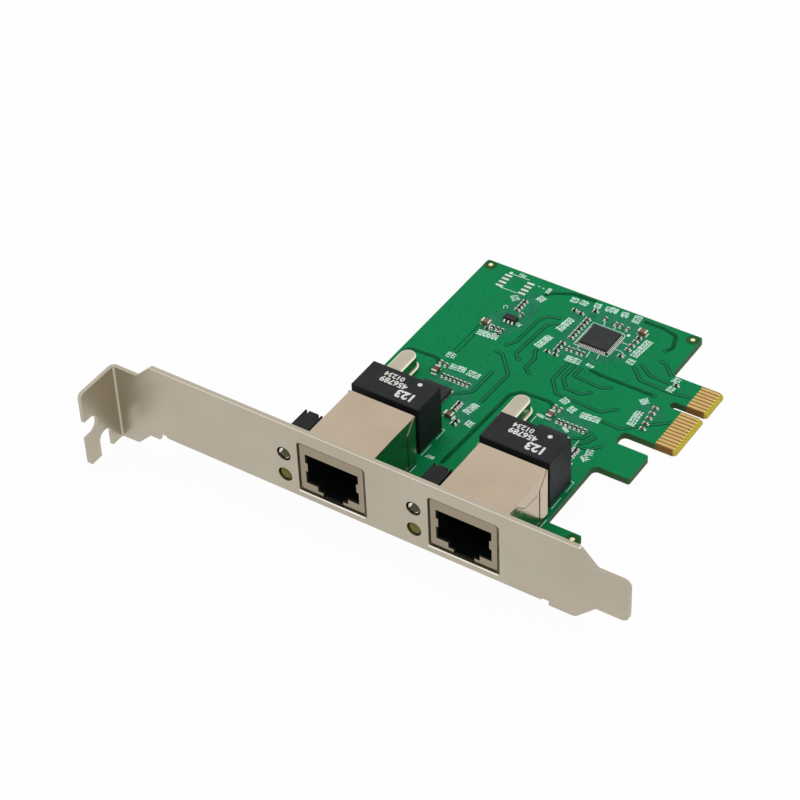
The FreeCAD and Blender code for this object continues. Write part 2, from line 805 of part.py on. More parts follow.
def light_holder(number):
    """Block with two seats for lights and two open channels for leads in its rear face."""
    body = new_body("light_%d_holder" % (number + 1), light_place(number))
    inner = "lead_half_pitch - lead_notch_wide / 2"
    outer = "lead_half_pitch + lead_notch_wide / 2"
    step = "holder_long - lead_notch_deep"
    half = [
        (inner, "holder_long"), (inner, step), (outer, step), (outer, "holder_long"),
        ("holder_wide / 2", "holder_long"), ("holder_wide / 2", "0"),
    ]
    pad(body, profile(body, "XY_Plane", [mirrored(half)]), "holder_high")
    seats = [("0", "upper_light", "lens_round"), ("0", "lower_light", "lens_round")]
    pocket(body, profile(body, "XZ_Plane", circles=seats), "lens_seat")


def light_lens(number, level):
    """Light with a tapered nose, seated in its holder, with its tip inside the bracket's hole."""
    body = new_body("light_%d_%s_lens" % (number + 1, level), light_place(number))
    circle = ("0", level + "_light", "lens_round")
    length = "lens_seat + holder_gap + sheet - lens_recess"
    pad(body, profile(body, "XZ_Plane", circles=[circle], lift="-lens_seat"), length)
    soften(body, level_edges(body.Tip, lambda edge, middle: edge.BoundBox.YMax < 0), "lens_bevel", "Chamfer")


def light_leads(number):
    """The upper light's two leads, bent down the channels to the board."""
    body = new_body("light_%d_leads" % (number + 1), light_place(number))
    low = "holder_long - lead_notch_deep"
    leads = []
    for middle in ("-lead_half_pitch", "lead_half_pitch"):
        left = middle + " - lead_thick / 2"
        right = middle + " + lead_thick / 2"
        leads.append(box_outline(left, low, right, low + " + lead_thick"))
    pad(body, profile(body, "XY_Plane", leads), "lead_high")


def crystal_place(number):
    """Middle of a crystal, on the board."""
    return (along("crystal_place_x + section_pitch * %d" % number), inward("crystal_place_y"), BOARD_TOP)


def crystal_can(number):
    """Drawn can with round ends and an eased top, on a wider brim."""
    body = new_body("crystal_%d_can" % (number + 1), crystal_place(number))
    base = profile(body, "XY_Plane", lift="crystal_gap")
    add_round_ended(base, "can_long", "can_wide", "brim")
    pad(body, base, "brim_thick")
    can = profile(body, "XY_Plane", lift="crystal_gap + brim_thick")
    add_round_ended(can, "can_long", "can_wide")
    pad(body, can, "can_top - crystal_gap - brim_thick")
    top = size("can_top")
    soften(body, level_edges(body.Tip, lambda edge, middle: middle.z > top - 1e-4), "can_bevel", "Chamfer")


def crystal_pins(number):
    """Two pins between the crystal and the board."""
    body = new_body("crystal_%d_pins" % (number + 1), crystal_place(number))
    half = "crystal_pin / 2"
    pins = []
    for middle in ("-crystal_pin_pitch / 2", "crystal_pin_pitch / 2"):
        pins.append(box_outline("-" + half, middle + " - " + half, half, middle + " + " + half))
    pad(body, profile(body, "XY_Plane", pins), "crystal_gap")


def moulded_chip(name, where, half_x, half_y, part):
    """Package drafted up and down from its parting line; part names its sizes."""
    body = new_body(name, where)
    outer = box_outline("-" + half_x, "-" + half_y, half_x, half_y)
    upper = profile(body, "XY_Plane", [outer], lift=part + "_middle")
    pad(body, upper, "%s_top - %s_middle" % (part, part), draft="-main_draft")
    lower = profile(body, "XY_Plane", [outer], lift=part + "_middle")
    pad(body, lower, "%s_middle - %s_gap" % (part, part), backward=True, draft="-main_draft")


def gull_lead(root, over, part):
    """Side view of a lead: out from the parting line, down to the board and along it."""
    thick = part + "_lead_thick"
    middle = part + "_middle"
    heel = "%s / 2 - %s_foot" % (over, part)
    return [
        (root, middle), (root, middle + " - " + thick), (heel, "0"),
        (over + " / 2", "0"), (over + " / 2", thick), (heel + " + " + thick, thick),
    ]


def main_chip():
    """Four-sided chip with a row of bent leads on each side."""
    where = (along("main_place_x"), inward("main_place_y"), BOARD_TOP)
    moulded_chip("main_chip_body", where, "main_wide / 2", "main_wide / 2", "main")
    body = new_body("main_chip_leads", where)
    lift = "main_pitch * (main_side - 1) / 2 - main_lead_wide / 2"
    outline = gull_lead("main_wide / 2", "main_over", "main")
    lead = pad(body, profile(body, "XZ_Plane", [outline], lift=lift), "main_lead_wide")
    ring_of_rows(body, lead, "Y_Axis", "main_pitch * (main_side - 1)", "main_side", 4)


def regulator():
    """Six-lead regulator."""
    where = (along("reg_place_x"), inward("reg_place_y"), BOARD_TOP)
    moulded_chip("regulator_body", where, "reg_long / 2", "reg_wide / 2", "reg")
    body = new_body("regulator_leads", where)
    lift = "-reg_pitch * (reg_side - 1) / 2 - reg_lead_wide / 2"
    outline = gull_lead("reg_wide / 2", "reg_over", "reg")
    lead = pad(body, profile(body, "YZ_Plane", [outline], lift=lift), "reg_lead_wide")
    ring_of_rows(body, lead, "X_Axis", "reg_pitch * (reg_side - 1)", "reg_side", 2)


def lan_chip(number):
    """Leadless chip on a thin metal ring that stands for its rows of pads."""
    where = (along("lan_place_x + section_pitch * %d" % number), inward("lan_place_y"), BOARD_TOP)
    body = new_body("lan_chip_%d_body" % (number + 1), where)
    outer = box_outline("-lan_wide / 2", "-lan_wide / 2", "lan_wide / 2", "lan_wide / 2")
    pad(body, profile(body, "XY_Plane", [outer], lift="copper"), "lan_top - copper")
    body = new_body("lan_chip_%d_pads" % (number + 1), where)
    outer = "lan_wide / 2 + lan_rim"
    inner = "lan_wide / 2 - lan_rim"
    ring = [box_outline("-(%s)" % half, "-(%s)" % half, half, half) for half in (outer, inner)]
    pad(body, profile(body, "XY_Plane", ring), "copper")


def spare_pads():
    """Two rows of bare pads for a part that is not fitted."""
    body = new_body("spare_pads", (along("spare_place_x"), inward("spare_place_y"), BOARD_TOP))
    rows = []
    for middle in ("0", "spare_span"):
        rows.append(box_outline(middle + " - spare_long / 2", "-spare_wide / 2",
                                middle + " + spare_long / 2", "spare_wide / 2"))
    pads = pad(body, profile(body, "XY_Plane", rows), "copper")
    row_of(body, [pads], "Y_Axis", "spare_pitch * (spare_side - 1)", "spare_side")


# Middles of the small parts: distances from the tab's outer face and the bracket's face,
# or from a crystal's middle for the parts that each port's circuit repeats.
# Each row holds its first middle, the step to the next, the count, and whether parts lie along X.
MARKS = [(40.87, 80.07), (90.55, 79.86), (99.0, 15.46)]
MARK_SIDES = 16
JOINT_SIDES = 6
SECTION_BLOCKS = [((5.6, 5.3), (0, 0), 1, False), ((15.4, -5.2), (0, 0), 1, True)]
SECTION_CAPACITORS = [((5.05, 8.1), (0, 0), 1, False), ((6.4, 7.85), (0, 0), 1, False),
                      ((15.25, -3.1), (0, 0), 1, True)]
SECTION_RESISTORS = [((7.7, 4.7), (1.02, 0), 7, False), ((15.3, -1.6), (0, 0), 1, True)]
BLOCKS = [((50.6, 62.4), (0, 0), 1, True), ((80.6, 76.25), (0, 0), 1, True)]
CAPACITORS = [((68.4, 67.4), (0, 2.35), 4, True), ((74.3, 76.0), (1.2, 0), 2, False),
              ((94.3, 56.85), (0.2, -1.7), 5, True), ((80.55, 70.05), (0.05, 1.55), 3, True),
              ((53.95, 69.5), (0, 2.2), 2, True), ((77.2, 75.8), (0, 0), 1, False)]
RESISTORS = [((67.8, 62.3), (0, 1.35), 3, True), ((51.7, 61.1), (0, 0), 1, True),
             ((54.3, 60.6), (0, 0), 1, False), ((55.6, 68.5), (0, 0), 1, False),
             ((70.7, 64.05), (1.35, 0), 2, False), ((80.2, 67.5), (0, 0), 1, True),
             ((64.5, 75.65), (4.0, 1.95), 2, True), ((71.6, 76.4), (0, 0), 1, False),
             ((94.6, 65.2), (0, 0), 1, True)]


def spread(rows, start=(0, 0)):
    """Every middle of the given rows, each with its direction."""
    middles = []
    for (across, inwards), (step_x, step_y), count, lengthwise in rows:
        for number in range(round(count)):
            middle = (start[0] + across + step_x * number, start[1] + inwards + step_y * number)
            middles.append((middle, lengthwise))
    return middles


def in_sections(rows):
    """The same rows at both crystals."""
    middles = []
    for number in range(2):
        start = (size("crystal_place_x") + size("section_pitch") * number, size("crystal_place_y"))
        middles += spread(rows, start)
    return middles


def box_at(middle, long, wide, high, lengthwise, shift=0.0):
    """A box on the board, moved along its own length by a shift."""
    if lengthwise:
        corner = FreeCAD.Vector(middle[0] + shift - long / 2, middle[1] - wide / 2, 0)
        return Part.makeBox(long, wide, high, corner)
    corner = FreeCAD.Vector(middle[0] - wide / 2, middle[1] + shift - long / 2, 0)
    return Part.makeBox(wide, long, high, corner)


def two_ended(middles, kind):
    """Bodies and tinned ends of parts of one kind of size."""
    long, wide, high, end = [size("%s_%s" % (kind, what)) for what in ("long", "wide", "high", "end")]
    cores = []
    ends = []
    for middle, lengthwise in middles:
        cores.append(box_at(middle, long - 2 * end, wide, high, lengthwise))
        for side in (-1, 1):
            shift = side * (long - end) / 2
            ends.append(box_at(middle, end, wide, high, lengthwise, shift))
    return cores, ends


def group(name, solids, height=BOARD_TOP):
    """One node of separate solids, placed from the tab, the bracket's face and the board."""
    item = doc.addObject("Part::Feature", name)
    item.Label = name
    item.Shape = Part.makeCompound(solids)
    place(item, ("-tab_to_finger", "-key_to_face", height))
    nodes.append(item)


def small_parts():
    """Capacitors and resistors, each a body between two tinned ends."""
    block_cores, block_ends = two_ended(spread(BLOCKS) + in_sections(SECTION_BLOCKS), "block")
    cores, ends = two_ended(spread(CAPACITORS) + in_sections(SECTION_CAPACITORS), "chip")
    group("capacitor_bodies", block_cores + cores)
    group("capacitor_ends", block_ends + ends)
    cores, ends = two_ended(spread(RESISTORS) + in_sections(SECTION_RESISTORS), "chip")
    group("resistor_bodies", cores)
    group("resistor_ends", ends)


def stub(middle, first_round, last_round, height, sides):
    """A many-sided stub on the board, tapered from its first to its last half-width."""
    rings = []
    for radius, lift in ((first_round, 0.0), (last_round, height)):
        corners = []
        for number in range(sides):
            turn = 2 * math.pi * number / sides
            corners.append(FreeCAD.Vector(middle[0] + radius * math.cos(turn),
                                          middle[1] + radius * math.sin(turn), lift))
        rings.append(corners)
    outlines = list(rings)
    for number in range(sides):
        following = (number + 1) % sides
        outlines.append([rings[0][number], rings[0][following], rings[1][following], rings[1][number]])
    faces = [Part.Face(Part.makePolygon(outline + outline[:1])) for outline in outlines]
    solid = Part.makeSolid(Part.makeShell(faces))
    if solid.Volume < 0:
        solid.reverse()
    return solid


def sighting_marks():
    """Round metal marks for the placing machine."""
    radius = size("mark_round")
    discs = [stub(middle, radius, radius, size("copper"), MARK_SIDES) for middle in MARKS]
    group("sighting_marks", discs)


def joint_middles():
    """Where pins and leads come through the board."""
    middles = []
    for number in range(2):
        port = size("port_place") + size("port_pitch") * number
        middles += port_pin_middles(port)
        middles += light_pin_middles(port - size("light_offset"))
        middles += transformer_pin_middles(size("trafo_place") + size("trafo_pitch") * number)
        crystal = size("crystal_place_x") + size("section_pitch") * number
        for side in (-0.5, 0.5):
            middles.append((crystal, size("crystal_place_y") + side * size("crystal_pin_pitch")))
    return middles


def port_pin_middles(port):
    """Two staggered rows of signal pins and the two feet of the shell."""
    middles = []
    wires = int(size("wires"))
    for wire in range(wires):
        across = port + (wire - (wires - 1) / 2) * size("wire_pitch")
        row = size("pin_row_near") if wire % 2 else size("pin_row_far")
        middles.append((across, size("port_recess") + row))
    for side in (-1, 1):
        across = port + side * (size("port_wide") - size("port_wall")) / 2
        middles.append((across, size("port_recess") + size("foot_start") + size("foot_long") / 2))
    return middles


def light_pin_middles(light):
    """Leads of the upper light behind those of the lower one."""
    front = size("sheet") + size("holder_gap")
    upper = front + size("holder_long") - size("lead_notch_deep") + size("lead_thick") / 2
    middles = []
    for side in (-1, 1):
        middles.append((light + side * size("lead_half_pitch"), upper))
        middles.append((light + side * size("low_lead_half_pitch"), front + size("low_lead_place")))
    return middles


def transformer_pin_middles(trafo):
    """Both rows of a transformer's pins."""
    middles = []
    pins = int(size("trafo_pins"))
    for pin in range(pins):
        across = trafo + (pin - (pins - 1) / 2) * size("trafo_pin_pitch")
        for inwards in (size("trafo_row_inset"), size("trafo_deep") - size("trafo_row_inset")):
            middles.append((across, size("trafo_start") + inwards))
    return middles


def solder_joints():
    """A cone of solder on the underside at each pin."""
    wide = size("joint_round")
    tip = size("joint_tip")
    cones = [stub(middle, wide, tip, -size("joint_high"), JOINT_SIDES) for middle in joint_middles()]
    group("solder_joints", cones, "-(%s)" % BOARD_TOP)


circuit_board()
edge_contacts("edge_contacts_top", BOARD_TOP)
edge_contacts("edge_contacts_bottom", "-(%s + copper)" % BOARD_TOP)
bracket()
bracket_screws()
for number in range(2):
    port_shield(number)
    port_housing(number)
    port_contacts(number)
    transformer_case(number)
    transformer_pins(number)
    light_holder(number)
    light_lens(number, "upper")
    light_lens(number, "lower")
    light_leads(number)
    crystal_can(number)
    crystal_pins(number)
    lan_chip(number)
main_chip()
regulator()
small_parts()
spare_pads()
sighting_marks()
solder_joints()

doc.recompute()
for item in doc.Objects:
    if {"Invalid", "Error"} & set(item.State):
        raise ValueError("%s failed: %s" % (item.Name, item.State))
os.makedirs("parts", exist_ok=True)
for node in nodes:
    shape = node.Shape
    if shape.isNull() or not shape.isValid():
        raise ValueError("%s has no valid shape" % node.Label)
    shape.exportStep("parts/%s.step" % node.Label)
    print(node.Label, len(shape.Solids), round(shape.Volume, 3), shape.BoundBox)
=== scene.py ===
# %% [markdown]
# # A dual-port network interface card
#
# The card is a green circuit board on a folded steel bracket. Two metal-shelled ports stand behind
# windows in the bracket, and a transformer, a crystal and a chip serve each port.
#
# The solid model of the card is the frame of this lesson. Every solid keeps its place and shape, and
# this script dresses it: finishes for each material, the copper pattern and print on the board, and
# finer shapes for the rounded pieces. The frame comes first, because everything else is measured from it.

# %% Load the frame and note its size
import math
import random

import bmesh
import bpy
from mathutils import Matrix, Vector
from mathutils.kdtree import KDTree


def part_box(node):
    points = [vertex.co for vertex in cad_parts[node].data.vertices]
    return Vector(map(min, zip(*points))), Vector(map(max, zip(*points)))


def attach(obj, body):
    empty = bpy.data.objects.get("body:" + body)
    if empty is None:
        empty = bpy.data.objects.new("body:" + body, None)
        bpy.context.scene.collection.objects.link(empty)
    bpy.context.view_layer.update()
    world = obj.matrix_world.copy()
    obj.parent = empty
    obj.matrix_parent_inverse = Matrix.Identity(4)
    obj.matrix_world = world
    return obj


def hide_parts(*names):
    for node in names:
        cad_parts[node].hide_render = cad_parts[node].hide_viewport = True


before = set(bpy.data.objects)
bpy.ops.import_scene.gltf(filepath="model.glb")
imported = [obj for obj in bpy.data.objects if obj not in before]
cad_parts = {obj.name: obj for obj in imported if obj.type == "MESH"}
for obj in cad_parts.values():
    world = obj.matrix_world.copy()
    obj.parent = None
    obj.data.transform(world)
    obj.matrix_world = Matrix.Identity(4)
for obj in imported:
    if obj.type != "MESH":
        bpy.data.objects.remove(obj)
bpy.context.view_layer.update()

# %% [markdown]
# ## Where things are
#
# A card maker measures from three faces: the outer face of the bracket's tab, the outer face of the
# bracket, and the top of the board. The helper below turns such distances in millimetres into a point of
# the frame in metres, so every piece that follows is placed the way a drawing would place it.

# %% Measuring from the faces of the card
MM = 0.001
TAB_TO_FINGER = 104.2
KEY_TO_FACE = 59.68
board_low, board_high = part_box("circuit_board")
BOARD_TOP = board_high.z / MM
BOARD_THICK = (board_high.z - board_low.z) / MM


def at(along, inward, up=0.0):
    """Point of the frame, from distances to the tab's face, the bracket's face and the board's top."""
    return Vector((along - TAB_TO_FINGER, inward - KEY_TO_FACE, up + BOARD_TOP)) * MM


def put(name, data):
    """A new object in the scene."""
    made = bpy.data.objects.new(name, data)
    bpy.context.scene.collection.objects.link(made)
    return made


print("board top at", round(BOARD_TOP, 3), "mm")

# %% [markdown]
# ## Camera
#
# The card is seen from above its tongue end, with a fairly long lens. The camera is aimed at a point on
# the board and rolled a little, because a hand-held camera is seldom quite level. Aim and roll are easier
# to adjust than three angles, which is why they are used here.

# %% Camera
CAMERA_PLACE = Vector((0.169872, -0.350528, 0.345437))
CAMERA_AIM = Vector((-0.055890, -0.027168, 0.000785))
CAMERA_ROLL = -2.691
LENS = 115.145
SENSOR = 36.0


def make_camera():
    """A camera at its place, aimed and rolled."""
    data = bpy.data.cameras.new("camera")
    data.lens = LENS
    data.sensor_width = SENSOR
    data.clip_start = 0.01
    data.clip_end = 20.0
    camera = put("camera", data)
    aim = (CAMERA_AIM - CAMERA_PLACE).to_track_quat("-Z", "Y").to_matrix().to_4x4()
    roll = Matrix.Rotation(math.radians(CAMERA_ROLL), 4, "Z")
    camera.matrix_world = Matrix.Translation(CAMERA_PLACE) @ aim @ roll
    bpy.context.scene.camera = camera
    return camera


camera = make_camera()
print("camera", tuple(round(x, 4) for x in camera.location))

# %% [markdown]
# ## Node helpers
#
# All finishes below are small node trees. These helpers keep them short: each adds a node with its
# settings and inputs in a single call, and hands back the socket that the next one needs.

# %% Node helpers
def set_inputs(node, **inputs):
    """Set inputs to values or sockets, named as on the node with _ for a space, or _ and a number."""
    for name, value in inputs.items():
        key = int(name[1:]) if name[1:].isdigit() else name.replace("_", " ")
        if isinstance(value, bpy.types.NodeSocket):
            node.id_data.links.new(value, node.inputs[key])
        else:
            node.inputs[key].default_value = value


def add_node(tree, kind, settings=None, **inputs):
    """Add a node with its settings and inputs."""
    made = tree.nodes.new(kind)
    for name, value in (settings or {}).items():
        setattr(made, name, value)
    set_inputs(made, **inputs)
    return made


def start_material(name):
    """A material with its tree and its main shader."""
    made = bpy.data.materials.new(name)
    made.use_nodes = True
    return made, made.node_tree, made.node_tree.nodes["Principled BSDF"]


def colour(red, green, blue):
    """A colour written as it looks on screen, from 0 to 255, as linear light."""
    parts = []
    for value in (red, green, blue):
        share = value / 255
        parts.append(share / 12.92 if share <= 0.04045 else ((share + 0.055) / 1.055) ** 2.4)
    return (*parts, 1.0)


def object_place(tree):
    """Socket with the place on the object, in metres."""
    return add_node(tree, "ShaderNodeTexCoord").outputs["Object"]


def axes(tree):
    """Sockets X, Y and Z of the place on the object."""
    return add_node(tree, "ShaderNodeSeparateXYZ", Vector=object_place(tree)).outputs


def maths(tree, kind, *values):
    """Result of a sum on one or two values or sockets."""
    inputs = {"_%d" % index: value for index, value in enumerate(values)}
    return add_node(tree, "ShaderNodeMath", {"operation": kind}, **inputs).outputs[0]


def noise(tree, scale, detail, stretch=None):
    """Noise on the object's own coordinates; scale is patches per metre."""
    place = object_place(tree)
    if stretch:
        place = add_node(tree, "ShaderNodeMapping", Vector=place, Scale=stretch).outputs[0]
    return add_node(tree, "ShaderNodeTexNoise", Vector=place, Scale=scale, Detail=detail).outputs["Fac"]


def blend(tree, amount, first, second):
    """Colour that goes from first to second as amount goes from 0 to 1."""
    mix = add_node(tree, "ShaderNodeMix", {"data_type": "RGBA"}, Factor=amount, _6=first, _7=second)
    return mix.outputs[2]


def span(tree, value, low, high, to_low=0.0, to_high=1.0):
    """Value moved from one range to another and held there."""
    return add_node(tree, "ShaderNodeMapRange", {"clamp": True}, Value=value, From_Min=low, From_Max=high,
                    To_Min=to_low, To_Max=to_high).outputs[0]


def clouds(tree, scale, detail, low, high, to_low=0.0, to_high=1.0, stretch=None):
    """Noise whose range from low to high is moved to another range."""
    return span(tree, noise(tree, scale, detail, stretch), low, high, to_low, to_high)


def bump(tree, height, distance):
    """Normal from a height; distance is the relief's depth in metres."""
    return add_node(tree, "ShaderNodeBump", Height=height, Distance=distance, Strength=1.0).outputs[0]


print("node helpers ready")

# %% [markdown]
# ## Floor, backdrop and light
#
# The photograph shows the card on pure white. The floor is a pale plane tilted to the three points that the
# card rests on. What the camera and shiny metal see of it is mostly plain white, and the rest is lit as
# usual, so a faint shadow stays. The world does the same. Two soft lamps light the top and the front. They
# are kept out of reflections, because the metal would otherwise mirror them as burnt-out patches.

# %% Floor
FLOOR_WHITE = (0.9, 0.9, 0.9, 1.0)
FLOOR_ROUGH = 0.9
FLOOR_PLAIN = 0.96
REST_HEIGHT = -6.621
REST_SLOPE_ALONG = 0.03917
REST_SLOPE_INWARD = 0.01481
FLOOR_REACH = 1500.0
FLOOR_CLEAR = 0.02


def seen_plainly(tree, share):
    """Factor for rays from the camera, in a mirror or through glass."""
    path = add_node(tree, "ShaderNodeLightPath").outputs
    seen = maths(tree, "MAXIMUM", path["Is Camera Ray"], path["Is Glossy Ray"])
    return maths(tree, "MULTIPLY", maths(tree, "MAXIMUM", seen, path["Is Transmission Ray"]), share)


def floor_material():
    """Pale matt floor that looks plain white and keeps a faint shadow."""
    made, tree, shader = start_material("floor")
    set_inputs(shader, Base_Color=FLOOR_WHITE, Roughness=FLOOR_ROUGH)
    glow = add_node(tree, "ShaderNodeEmission", Color=(1, 1, 1, 1), Strength=1.0)
    mix = add_node(tree, "ShaderNodeMixShader", _0=seen_plainly(tree, FLOOR_PLAIN),
                   _1=shader.outputs[0], _2=glow.outputs[0])
    set_inputs(tree.nodes["Material Output"], Surface=mix.outputs[0])
    return made


def make_floor():
    """A wide plane through the card's resting points."""
    corners = []
    for along, inward in ((-1, -1), (1, -1), (1, 1), (-1, 1)):
        along = along * FLOOR_REACH + TAB_TO_FINGER / 2
        inward = inward * FLOOR_REACH
        up = REST_HEIGHT + REST_SLOPE_ALONG * along + REST_SLOPE_INWARD * inward - FLOOR_CLEAR
        corners.append(at(along, inward, up))
    mesh = bpy.data.meshes.new("floor")
    mesh.from_pydata(corners, [], [(0, 1, 2, 3)])
    mesh.materials.append(floor_material())
    floor = put("floor", mesh)


make_floor()
print("floor is level to", round(math.degrees(math.atan(REST_SLOPE_ALONG)), 2), "degrees")

# %% World and lamps
WORLD_LIGHT = 0.5
LAMPS = [
    ("key_lamp", (-0.25, 0.25, 0.75), 0.9, 3.3),
    ("fill_lamp", (0.55, -0.55, 0.45), 0.9, 1.4),
]
LAMP_AIM = Vector((-0.04, -0.02, 0.0))


def make_world():
    """Soft light from all round, plain white where it is seen or mirrored."""
    world = bpy.data.worlds.new("studio")
    bpy.context.scene.world = world
    world.use_nodes = True
    tree = world.node_tree
    level = span(tree, seen_plainly(tree, 1.0), 0.0, 1.0, WORLD_LIGHT, 1.0)
    set_inputs(tree.nodes["Background"], Color=(1, 1, 1, 1), Strength=level)


def make_lamp(name, place, width, power):
    """A square soft lamp aimed at the card."""
    data = bpy.data.lights.new(name, "AREA")
    data.energy = power
    data.size = width
    lamp = put(name, data)
    lamp.visible_glossy = False
    lamp.location = place
    lamp.rotation_euler = (LAMP_AIM - Vector(place)).to_track_quat("-Z", "Y").to_euler()


make_world()
for lamp_row in LAMPS:
    make_lamp(*lamp_row)
bpy.context.scene.view_settings.view_transform = "Standard"
print("lamps", [lamp_row[0] for lamp_row in LAMPS])

# %% [markdown]
# ## Solder mask, laminate and gold fingers
#
# The board is woven glass and resin under a green lacquer. The lacquer stops short of the fingers, where
# the straw-coloured laminate shows between the gold contacts, and the milled edges show it too. Height
# tells the lacquered faces from the edges, and the place along and across tells where the lacquer stops.

# %% Board material
MASK_END = 99.36
CONTACT_END = 103.3
FINGERS_FROM = 47.38
FINGERS_TO = 67.98
SOFT_EDGE = 0.05
GREEN = colour(4, 136, 80)
GREEN_DRIFT = colour(10, 129, 77)
BARE_GAP = colour(138, 100, 54)
BEVEL = colour(200, 180, 66)
EDGE = colour(62, 98, 60)
LACQUER_GLOSS = 0.04
LACQUER_CLOUDS = (90.0, 2.0, 0.35, 0.7)
LACQUER_POLISH = (900.0, 3.0, 0.3, 0.7, 0.36, 0.5)
LACQUER_GRAIN = (2600.0, 2.0)
LACQUER_DEPTH = 0.000003
WEAVE = (1400.0, 3.0, 0.4, 0.8, 0.0, 0.25, (1.0, 0.4, 1.0))
FACE_FROM = 0.02
FACE_TO = 0.01


def between(tree, value, low, high, soft=SOFT_EDGE):
    """1 where the value lies between low and high, in metres, with an edge softened in millimetres."""
    rise = span(tree, value, low - soft * MM, low + soft * MM)
    fall = span(tree, value, high - soft * MM, high + soft * MM, 1.0, 0.0)
    return maths(tree, "MULTIPLY", rise, fall)


def board_material():
    """Green lacquer over laminate, bare at the fingers and round the edges."""
    made, tree, shader = start_material("board_lacquer")
    place = axes(tree)
    lacquer = blend(tree, clouds(tree, *LACQUER_CLOUDS), GREEN, GREEN_DRIFT)
    lacquer = blend(tree, clouds(tree, *WEAVE), lacquer, EDGE)
    low, high = at(MASK_END, FINGERS_FROM), at(CONTACT_END, FINGERS_TO)
    soft = SOFT_EDGE * MM
    past_mask = span(tree, place["X"], low.x - soft, low.x + soft)
    bare = maths(tree, "MULTIPLY", between(tree, place["Y"], low.y, high.y), past_mask)
    laminate = blend(tree, span(tree, place["X"], high.x, high.x + 2.0 * soft), BARE_GAP, BEVEL)
    height = maths(tree, "ABSOLUTE", place["Z"])
    face = span(tree, height, (BOARD_TOP - FACE_FROM) * MM, (BOARD_TOP - FACE_TO) * MM)
    edge = blend(tree, bare, EDGE, laminate)
    flat = blend(tree, bare, lacquer, laminate)
    set_inputs(shader, Base_Color=blend(tree, face, edge, flat),
               Roughness=clouds(tree, *LACQUER_POLISH), Specular_IOR_Level=LACQUER_GLOSS,
               Normal=bump(tree, noise(tree, *LACQUER_GRAIN), LACQUER_DEPTH))
    return made


FINISH = {"board_lacquer": (board_material(), "board")}
print("finish", *FINISH)

# %% [markdown]
# ## One recipe for the other finishes
#
# Real surfaces are never one flat value: colour drifts in clouds, polish is uneven, and metal and mouldings
# have a grain. One recipe makes all three from noise, and a short function for each family of materials
# sets how coarse they are. Tables then give the names, the slots, the colours and the polish.

# %% Recipe and lacquers
def skin(name, slot, plain, other, drift, rough, relief=None, stretch=None, **inputs):
    """A finish of two colours in clouds; drift, rough and relief begin with a noise's scale and detail."""
    made, tree, shader = start_material(name)
    if relief:
        scale, detail, depth = relief
        inputs["Normal"] = bump(tree, noise(tree, scale, detail, stretch), depth)
    set_inputs(shader, Base_Color=blend(tree, clouds(tree, *drift, stretch=stretch), plain, other),
               Roughness=clouds(tree, *rough, stretch=stretch), **inputs)
    FINISH[name] = (made, slot)


def lacquer(name, slot, plain, other):
    """Lacquer of one shade, for what lies in or on the board's face."""
    skin(name, slot, colour(*plain), colour(*other), (500.0, 2.0, 0.35, 0.7),
         (900.0, 3.0, 0.3, 0.7, 0.4, 0.5), Specular_IOR_Level=LACQUER_GLOSS)


lacquer("lacquer_over_gap", "board", (0, 84, 46), (2, 92, 52))
lacquer("lacquer_over_laminate", "board", (40, 130, 92), (30, 118, 82))
lacquer("bare_ring", None, (34, 86, 44), (44, 94, 48))
lacquer("fold_shadow", None, (62, 54, 40), (74, 66, 50))
lacquer("seam_shadow", None, (70, 62, 48), (56, 50, 38))
print("finishes so far", len(FINISH))

# %% [markdown]
# ## Metals
#
# The bracket is nickel-plated steel with a satin skin, the port shells are smoother tinned sheet, and
# the crystal cans are polished. Bands of painted highlight run along the bracket's top edge and the rim and
# brim of each crystal can, and painted shade darkens the front plate of each port. The bands are laid over
# the plain metal by the place on the piece.

# %% Metal materials
# Name, slot, colour, worn colour, least and most roughness, patches per metre, depth and stretch of the grain
METALS = [
    ("satin_nickel", "plated_steel", (186, 177, 160), (178, 169, 151), 0.3, 0.38, 50.0, 0.000002),
    ("tinned_sheet", "shell", (192, 175, 153), (182, 165, 143), 0.16, 0.24, 90.0),
    ("polished_can", "can", (186, 177, 158), (174, 165, 146), 0.14, 0.22, 150.0),
    ("screw_steel", None, (175, 172, 168), (140, 136, 130), 0.3, 0.42, 900.0),
    ("tinned_lead", "tin", (226, 227, 220), (200, 202, 194), 0.22, 0.36, 1500.0),
    ("reflowed_solder", "tin", (240, 243, 238), (222, 226, 218), 0.18, 0.3, 1500.0),
    ("pale_gold", "gold", (248, 240, 208), (236, 222, 176), 0.2, 0.3, 1500.0),
    ("bright_stub", "gold", (252, 240, 160), (240, 222, 132), 0.16, 0.26, 1500.0),
    # Painted highlight: a near-white polished bead along the lower edge of each port window.
    ("painted_highlight_lip", "plated_steel", (255, 253, 246), (216, 208, 192), 0.06, 0.14, 160.0),
    ("gold_plate", "gold", (216, 184, 122), (202, 164, 100), 0.26, 0.38, 1500.0, 0.000002, (0.3, 1.0, 1.0)),
]
PORT_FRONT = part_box("port_1_shield")[0].y
CAN_FOOT, CAN_TOP = (corner.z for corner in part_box("crystal_1_can"))
BRACKET_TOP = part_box("bracket")[1].z
# Name, axis, from, to, colour and, in millimetres, how soft the band's edges are. The first band is painted
# shade, the others painted highlights.
PAINTED_LIGHT_BANDS = [
    # Painted shade: the front plate of each port is darkened, standing in for the dark that its smooth face
    # mirrors.
    ("tinned_sheet", "Y", PORT_FRONT - MM, PORT_FRONT + 0.2 * MM, (150, 137, 118), 0.1),
    # Painted highlights: bright bands along the rounded top rim and the brim of each crystal can.
    ("polished_can", "Z", CAN_TOP - 0.4 * MM, CAN_TOP - 0.04 * MM, (238, 232, 214)),
    ("polished_can", "Z", CAN_FOOT + 0.3 * MM, CAN_FOOT + 0.5 * MM, (226, 218, 198)),
    # Painted highlight: a bright band just below the bracket's top edge.
    ("satin_nickel", "Z", BRACKET_TOP - 0.24 * MM, BRACKET_TOP - 0.08 * MM, (250, 240, 222)),
]


